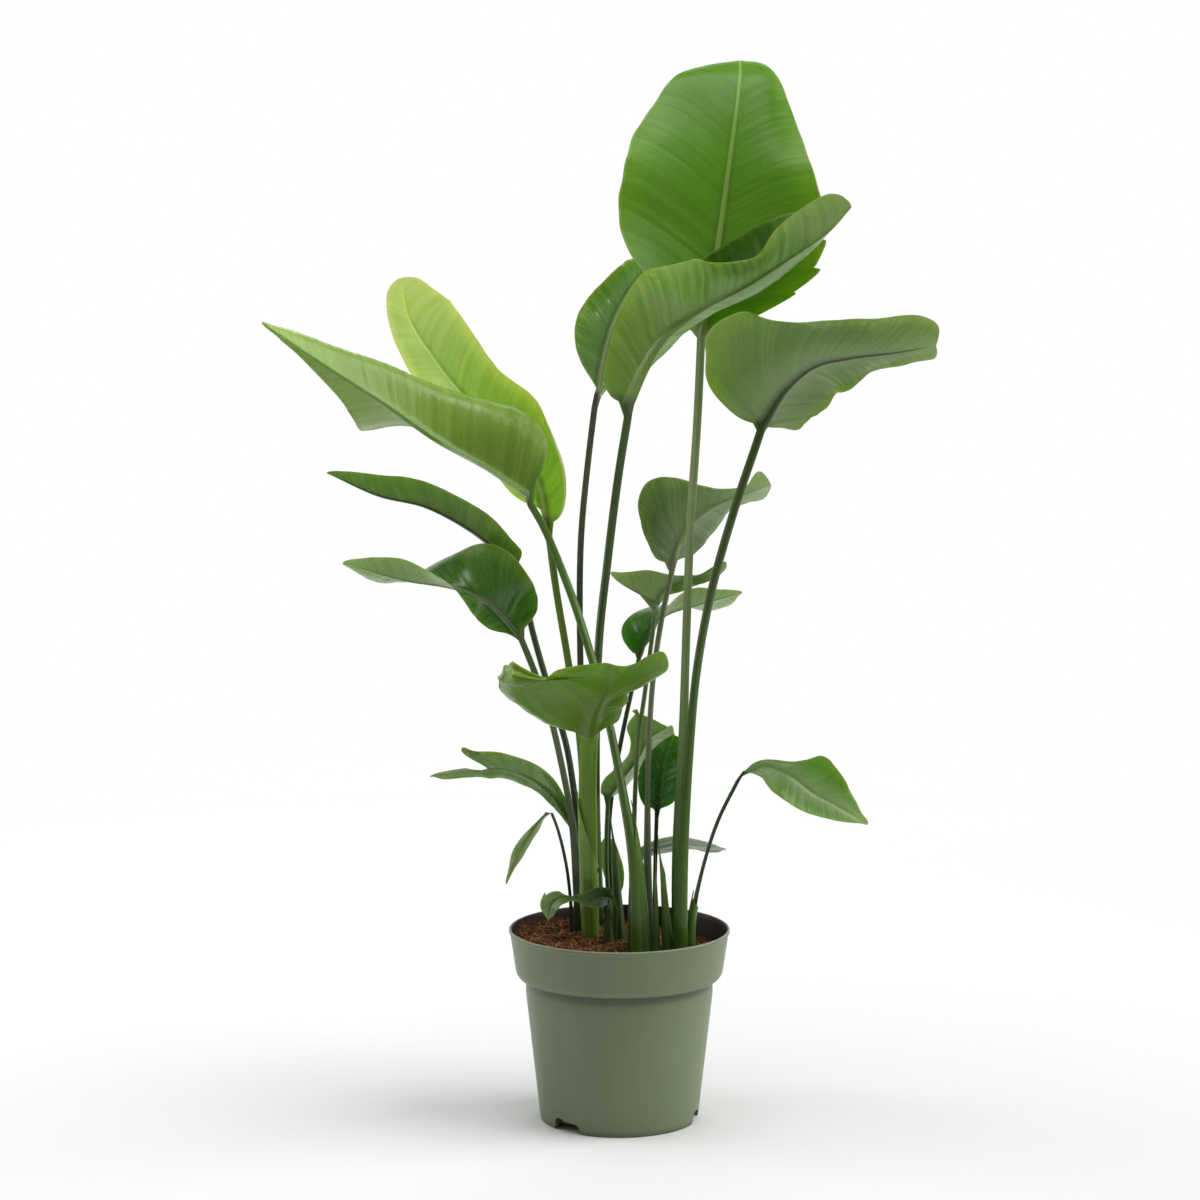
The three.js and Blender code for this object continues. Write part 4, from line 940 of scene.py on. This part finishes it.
    left=dict(widths=[0, 6, 36, 48, 25, 28, 40, 0], sweep=[-0.04, -0.03, 0.07, 0.3, 0.29, 0.06, 0, 0.05]),
    right=dict(widths=[0, 17, 34, 66, 56, 34, 16, 11, 29, 0], lift=[20, 15, 10], sweep=[-0.38, -0.1, 0.08,
        0.04, -0.1, -0.31, -0.67, -1.16, -1.08, -0.41]),
), dict(
    name="inner_upper", paint="pale",
    colours=dict(upper=(112, 132, 84), upper_tip=(120, 140, 92), under=(160, 174, 130),
        under_tip=(104, 124, 76), foot=(66, 88, 40), stalk=(88, 112, 56)),
    stalk=[(12, -34, STALK_FOOT), (14, -22, 270), (20, 12, 409), (28, 24, 467), (35, 34, 521),
        (39, 46, 550)], foot=(4.5, 3.5, 3), neck=(2.5, 3.5, -0.6),
    rib=[(39, 56, 557), (47, 60, 572), (68, 64, 582), (92, 66, 589), (117, 68, 601)],
        face=[(-0.2, 0.8, 0.5), (-0.2, 0.9, 0.3), (0, 0.6, 0.8)],
    left=dict(widths=[0, 6, 14, 16, 16, 17, 13, 0], sweep=[-0.31, 0.27, 0.69, 0.68, 0.63, 0.44, 0.34,
        0.29]),
    right=dict(widths=[0, 55, 41, 12, 1, 4, 3, 0], lift=[34, 14, 10], sweep=[0.13, -0.02, -0.29, -0.66,
        -0.41, 0.13, 0.75, 1.37]),
), dict(
    name="inner_lower", paint="dark",
    colours=dict(upper=(44, 92, 14), upper_tip=(120, 142, 84), under=(130, 158, 88),
        under_tip=(138, 164, 92), rib=(84, 112, 50), foot=(48, 64, 34), stalk=(62, 84, 38)),
    stalk=[(-6, 84, STALK_FOOT), (-12, 76, 280), (-8, 72, 343), (3, 70, 408), (14, 68, 462), (21, 66, 495)],
        foot=(4.5, 3.5, 3), neck=(2.5, 3.5, -0.6),
    rib=[(23, 64, 501), (32, 68, 525), (50, 72, 543), (89, 76, 555), (135, 80, 567)],
        face=[(-0.4, -0.7, 0.6), (-0.3, 0.2, 0.9), (0, 0.6, 0.8)],
    left=dict(widths=[0, 13, 34, 42, 68, 36, 8, 0], lift=[10, 10, 10], sweep=[-0.42, -0.18, -0.04, -0.05,
        0.18, 0.18, 0.41, 0.77]),
    right=dict(widths=[0, 3, 24, 30, 30, 14, 5, 0], sweep=[0.26, 0.32, 0.32, 0.23, 0.15, 0.23, 0.49, 0.81]),
), dict(
    name="front_centre", paint="bright", fine=True, veins=0.3, dullness=0.2, relief=0.45, coat=0.12,
        shine=0.2, pleats=0.15, calm=0.1, wave=(3, 2, 0),
    colours=dict(upper=(112, 160, 46), under=(92, 118, 26), under_tip=(98, 130, 38), rib=(84, 116, 38),
        foot=(130, 170, 52), stalk=(112, 154, 40)),
    stalk=[(-31, 20, STALK_FOOT), (-33, 19, 259), (-34, 13, 326), (-34, 1, 384), (-33, -10, 416)],
        foot=(10.5, 6, 5), neck=(9.5, 6, 0), sheath=1.4, girth=[0.72, 0.74, 1.02, 1, 1, 1, 1, 1, 1],
    rib=[(-31, -14, 424), (-28, -36, 448), (-21, -58, 466), (-14, -78, 482), (-13, -94, 499),
        (-19, -106, 515)], face=[(0, 0.7, 0.7), (0, 0.7, 0.7), (0, 0.7, 0.7), (0, 0.6, 0.8)],
    left=dict(widths=[0, 0, 27, 37, 32, 60, 65, 48, 25, 12, 5, 0], lift=[25, 20, 15], hem=[0, 30, 30, 0, 0,
        0], hem_from=0.6, sweep=[0, -0.1, 0.26, 0.99, 0.92, 0.53, 0.57, 0.59, 0.5, 0.3, 0.1, 0]),
    right=dict(widths=[0, 7, 12, 26, 43, 63, 90, 113, 124, 105, 98, 83, 59, 35, 11, 0], lift=[12, 8, 0],
        hem=[30, 80, 40, 0, 0, 0], hem_from=0.7, sweep=[-0.39, -0.56, -0.61, -0.59, -0.47, -0.41, -0.42,
        -0.41, -0.36, -0.4, -0.17, 0.16, 0.16, 0.07, 0.2, 0.26]),
), dict(
    name="centre_small", paint="pale",
    colours=dict(upper=(60, 96, 34), under=(124, 148, 88), under_tip=(122, 146, 86), rib=(84, 112, 50),
        foot=(60, 84, 36), stalk=(78, 108, 48)),
    stalk=[(-8, 70, STALK_FOOT), (-9, 67, 205), (-13, 58, 251), (-14, 55, 296), (-13, 52, 336)],
        foot=(4.5, 3.5, 3), neck=(2.5, 3.5, -0.6),
    rib=[(-12, 50, 346), (3, 46, 367), (20, 42, 389), (33, 38, 412), (57, 34, 427)], face=[(-0.5, 0.6, 0.6),
        (-0.4, 0.7, 0.6), (-0.2, 0.7, 0.7)],
    left=dict(widths=[0, 19, 45, 62, 55, 46, 33, 11, 0], sweep=[-0.36, -0.29, -0.23, -0.19, -0.2, -0.28,
        -0.11, 0.19, 0.42]),
    right=dict(widths=[0, 9, 16, 13, 14, 37, 41, 0, 0], sweep=[-0.4, -0.16, 0.13, 0.45, 0.77, 0.31, 0.21,
        -0.23, -0.41]),
), dict(
    name="centre_dark", paint="dark", wave=(1, 2, 0),
    colours=dict(upper=(36, 70, 12), upper_tip=(44, 84, 16), rib=(54, 88, 26), foot=(48, 60, 32),
        stalk=(44, 58, 30)),
    stalk=[(38, -8, STALK_FOOT), (38, -14, 244), (39, -12, 298), (40, -8, 332)], foot=(4, 3, 2.5),
        neck=(2.2, 3, -0.6),
    rib=[(41, -6, 340), (42, -2, 362), (46, 4, 388), (59, 10, 420)], face=[(-0.3, -0.9, 0.2)] * 3,
    left=dict(widths=[0, 3, 15, 22, 21, 14, 5, 0], sweep=[-0.43, -0.63, -0.41, -0.14, -0.22, -0.35, -0.45,
        -0.41]),
    right=dict(widths=[0, 3, 22, 32, 26, 16, 12, 0], sweep=[-0.4, -0.26, -0.09, 0.08, 0.38, 0.56, 0.78,
        0.44]),
), dict(
    name="low_left", paint="middle",
    colours=dict(upper=(88, 114, 52), upper_tip=(128, 148, 96), rib=(88, 118, 52), foot=(60, 78, 38),
        stalk=(58, 84, 34)),
    stalk=[(-46, 48, STALK_FOOT), (-44, 58, 250), (-45, 61, 283), (-50, 60, 306)], foot=(4.5, 3.5, 3),
        neck=(2.5, 3.5, -0.6),
    rib=[(-52, 58, 311), (-69, 50, 341), (-97, 42, 366), (-130, 34, 379), (-162, 28, 376), (-206, 24, 372)],
        face=[(0.2, -0.6, 0.75), (0.2, -0.6, 0.75), (0.1, -0.4, 0.9)],
    left=dict(widths=[0, 3, 8, 15, 12, 16, 17, 10, 7, 7, 0, 0], lift=[20, 10, 0], sweep=[-0.32, 0.13, 0.46,
        0.6, 0.64, 0.68, 0.82, 0.63, 0.22, -0.11, -0.23, -0.32]),
    right=dict(widths=[0, 2, 5, 13, 20, 23, 21, 24, 40, 0, 7, 8, 7, 5, 2, 0], lift=[10, 0, 0], sweep=[1.53,
        1.52, 1.25, 1.2, 1.27, 1.64, 1.67, 1.54, 1.11, 1.23, 1.29, 0.76, -0.13, -0.08, -0.3, -0.61]),
), dict(
    name="low_hanging", paint="pale", wave=(0.5, 2, 0),
    colours=dict(upper=(154, 170, 124), upper_tip=(124, 150, 88), rib=(112, 140, 76), foot=(50, 58, 38),
        stalk=(56, 62, 46)),
    stalk=[(-50, 25, STALK_FOOT), (-54, 28, 243), (-59, 30, 279), (-67, 31, 311), (-74, 31, 330)],
        foot=(3, 2.5, 2), neck=(1.8, 2.2, -0.4),
    rib=[(-78, 28, 332), (-88, 22, 322), (-104, 16, 297), (-123, 10, 256)], face=[(-0.7, -0.6, 0.3)] * 3,
    left=dict(widths=[0, 2, 11, 9, 7, 1, 0, 0], lift=[20, 10, 0], sweep=[0.4, 0.31, 0.2, 0.12, 0.1, 0,
        -0.14, -0.28]),
    right=dict(widths=[0, 0, 2, 8, 10, 6, 3, 0], lift=[20, 10, 0], sweep=[0.4, 0.44, 0.42, 0.36, 0.37, 0.32,
        0.17, 0]),
), dict(
    name="low_crossing", paint="middle", wave=(0.5, 2, 0),
    colours=dict(upper=(40, 62, 22), upper_tip=(124, 150, 88), rib=(70, 96, 42)),
    stalk=[(-4, 0, STALK_FOOT), (-4, -1, 207), (-3, -4, 232)], foot=(3, 2.5, 2), neck=(1.8, 2.2, -0.4),
    rib=[(-6, -6, 243), (-21, -14, 247), (-37, -19, 247), (-51, -22, 247), (-65, -23, 248), (-74, -23, 239),
        (-77, -22, 222)], face=[(0.2, -0.9, 0.4), (0, -0.6, 0.8), (-0.5, -0.6, 0.5)],
    left=dict(widths=[0, 0, 1, 14, 15, 9, 3, 7, 12, 8, 0, 0], lift=[20, 10, 0], sweep=[-0.26, -0.14, 0.19,
        0.22, 0.07, -0.24, -1.11, -1.54, -1.54, -1.22, -0.86, -0.37]),
    right=dict(widths=[0, 8, 9, 10, 8, 5, 2, 5, 14, 15, 1, 0], lift=[20, 10, 0], sweep=[0.4, 0.32, 0.16,
        0.17, 0.02, -0.19, -0.63, -0.79, -1.04, -0.32, -1.16, -0.42]),
), dict(
    name="low_right", paint="middle", bloom_and_sheen=0.5, wave=(0.6, 2, 0),
    colours=dict(upper=(96, 134, 50), upper_tip=(106, 146, 56), rib=(138, 164, 92), foot=(74, 104, 40),
        stalk=(56, 68, 44)),
    stalk=[(78, -8, STALK_FOOT), (79, -13, 222), (90, -18, 280), (106, -24, 333), (126, -30, 376)],
        foot=(4.5, 3.5, 3), neck=(2, 3, -0.5),
    rib=[(131, -32, 385), (155, -36, 393), (182, -42, 384), (205, -47, 367), (229, -50, 354),
        (264, -54, 334)], face=[(0.1, -0.85, 0.5), (0.1, -0.85, 0.5), (0.2, -0.85, 0.5)],
    left=dict(widths=[0, 0, 5, 9, 16, 32, 40, 33, 20, 8, 4, 0], lift=[10, 5, 0], sweep=[0.3, 0.53, 0.64,
        0.48, 0.16, -0.15, -0.29, -0.14, -0.13, -0.17, 0.06, 0.35]),
    right=dict(widths=[0, 0, 12, 27, 24, 16, 3, 0], lift=[10, 5, 0], sweep=[-0.41, -0.56, -0.45, -0.21,
        -0.26, -0.43, -0.52, -0.41]),
), dict(
    name="back_low", paint="pale", wave=(1, 2, 0),
    colours=dict(upper=(50, 68, 26), upper_tip=(58, 74, 32), under=(76, 90, 50), under_tip=(80, 96, 54)),
    stalk=[(12, 92, STALK_FOOT), (14, 88, 223), (13, 88, 245), (13, 89, 256)], foot=(3, 2.5, 2),
        neck=(2, 2.6, -0.4),
    rib=[(15, 90, 262), (35, 96, 274), (63, 102, 281), (91, 108, 279), (120, 114, 274)],
        face=[(0, -0.1, 1)] * 3,
    left=dict(widths=[0, 8, 18, 24, 24, 16, 5, 0], lift=[10, 5, 0], curl=[10, 0, 0]),
    right=dict(widths=[0, 8, 18, 24, 24, 16, 5, 0], lift=[10, 5, 0], curl=[10, 0, 0]),
), dict(
    name="back_small", paint="dark", wave=(0.5, 2, 0),
    colours=dict(upper=(104, 126, 70), upper_tip=(112, 134, 76)),
    stalk=[(-6, 96, STALK_FOOT), (-4, 93, 205), (-3, 92, 221)], foot=(2.5, 2, 2), neck=(1.8, 2.2, -0.4),
    rib=[(-2, 92, 229), (-5, 96, 248), (-10, 100, 270), (-14, 104, 289)], face=[(0, -1, 0.3)] * 3,
    left=dict(widths=[0, 5, 9, 11, 10, 8, 4, 0], lift=[10, 5, 0], curl=[10, 0, 0]),
    right=dict(widths=[0, 5, 9, 11, 10, 8, 4, 0], lift=[10, 5, 0], curl=[10, 0, 0]),
)]
for index, entry in enumerate(LEAVES):
    leaf = PLAIN_LEAF | entry
    greens = GREENS[leaf["paint"]] | leaf["colours"]
    inputs = {name: paint(*greens[name.lower().replace(" ", "_")]) for name in SKIN_COLOURS}
    inputs |= {name: leaf[name.lower()] for name in SKIN_VALUES}
    material = skin_finish(leaf["name"], inputs, coat_weight=leaf["coat"], coat_roughness=0.22,
                           specular_ior_level=leaf["shine"], subsurface_weight=leaf["glow"],
                           subsurface_radius=(0.6, 1.0, 0.2), subsurface_scale=0.005)
    grown = piece(leaf["name"] + "_leaf", grow(leaf, index), material)
    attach(grown, "root")
    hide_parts("leaf_" + leaf["name"])

# Sheaths: the old leaf bases that wrap the feet of the shoots. Each is a thin green tube, open down
# one side, that grows from the peat and ends in a slanting lip, highest at one edge.
SHEATH_WALL = 0.8
SHEATH_COLUMNS = 24
SHEATH_ROWS = 36
SHEATHS = [
    {"name": "sheath_left", "leaf": "front_centre", "reach": 0.76, "shift": (0, 0), "radii": (8.4, 10.2),
     "faces": 275, "spread": 105, "high": -1, "slant": 0.5, "paint": "bright"},
    {"name": "sheath_middle", "leaf": "left_large", "reach": 0.36, "shift": (6, 8), "radii": (10.5, 7.2),
     "faces": 268, "spread": 125, "high": 1, "slant": 0.5, "paint": "middle"},
    {"name": "sheath_between", "points": [(38, -44, 170), (39, -42, 240), (37, -40, 300)], "reach": 1,
     "shift": (0, 0), "radii": (6, 1.5), "faces": 270, "spread": 100, "high": 1, "slant": 0.3,
     "paint": "middle"},
    {"name": "sheath_right", "points": [(54, -44, 170), (49, -42, 240), (43, -40, 320)], "reach": 1,
     "shift": (0, 0), "radii": (8.5, 2), "faces": 262, "spread": 110, "high": -1, "slant": 0.3,
     "paint": "middle"},
    {"name": "sheath_right_low", "leaf": "low_right", "reach": 0.4, "shift": (-3, -12), "radii": (8.5, 3.4),
     "faces": 270, "spread": 150, "high": -1, "slant": 0.25, "paint": "middle"},
    {"name": "sheath_back", "points": [(2, 12, 170), (-3, 18, 260), (-8, 24, 336)], "reach": 1,
     "shift": (0, 0), "radii": (9, 2), "faces": 270, "spread": 100, "high": -1, "slant": 0.3,
     "paint": "dark"},
    {"name": "sheath_dark", "points": [(-11, -2, 170), (-14, 2, 256)], "reach": 1,
     "shift": (0, 0), "radii": (8, 4), "faces": 275, "spread": 110, "high": 1, "slant": 0.5, "paint": "dark"},
]
SHEATH_COLOURS = {
    "bright": {"Foot": (120, 152, 66), "Stalk": (122, 166, 44)},
    "middle": {"Foot": (62, 88, 40), "Stalk": (96, 132, 46)},
    "dark": {"Foot": (50, 66, 36), "Stalk": (80, 104, 50)},
}
owners = {leaf["name"]: leaf for leaf in LEAVES}
for sheath in SHEATHS:
    wrap = bmesh.new()
    climbs = wrap.verts.layers.float.new("climb")
    rounds = wrap.verts.layers.float.new("around")
    bmesh.ops.create_grid(wrap, x_segments=SHEATH_COLUMNS, y_segments=SHEATH_ROWS, size=1.0)
    route = route_through(sheath.get("points") or owners[sheath["leaf"]]["stalk"])
    for vertex in wrap.verts:
        u, v = vertex.co.x, (vertex.co.y + 1) / 2
        rise = v * (1 - sheath["slant"] * ((1 - sheath["high"] * u) / 2) ** 0.8 * v ** 2)
        angle = math.radians(sheath["faces"] + sheath["spread"] * u * (1 - 0.2 * v ** 3))
        radius = sheath["radii"][0] + (sheath["radii"][1] - sheath["radii"][0]) * math.sin(math.pi / 2 * rise)
        radius += 0.35 * math.sin(9 * u + 2 * rise) * (1 - rise) + 0.5 * v ** 6
        place = on_route(route, rise * sheath["reach"])[0]
        x = place[0] + sheath["shift"][0] * (1 - rise) + radius * math.cos(angle)
        y = place[1] + sheath["shift"][1] * (1 - rise) + radius * math.sin(angle)
        vertex[climbs] = rise
        vertex[rounds] = u
        vertex.co = Vector((x, y, place[2])) * MM
    bmesh.ops.recalc_face_normals(wrap, faces=wrap.faces)
    bmesh.ops.solidify(wrap, geom=wrap.faces, thickness=SHEATH_WALL * MM)
    bmesh.ops.recalc_face_normals(wrap, faces=wrap.faces)
    inputs = {name: paint(*colour) for name, colour in SHEATH_COLOURS[sheath["paint"]].items()}
    material = skin_finish(sheath["name"], inputs | {"Dullness": 0.35}, coat_weight=0.06,
                           coat_roughness=0.3, specular_ior_level=0.4)
    part = piece(sheath["name"], mesh_of(wrap, sheath["name"]), material)
    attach(part, "root")
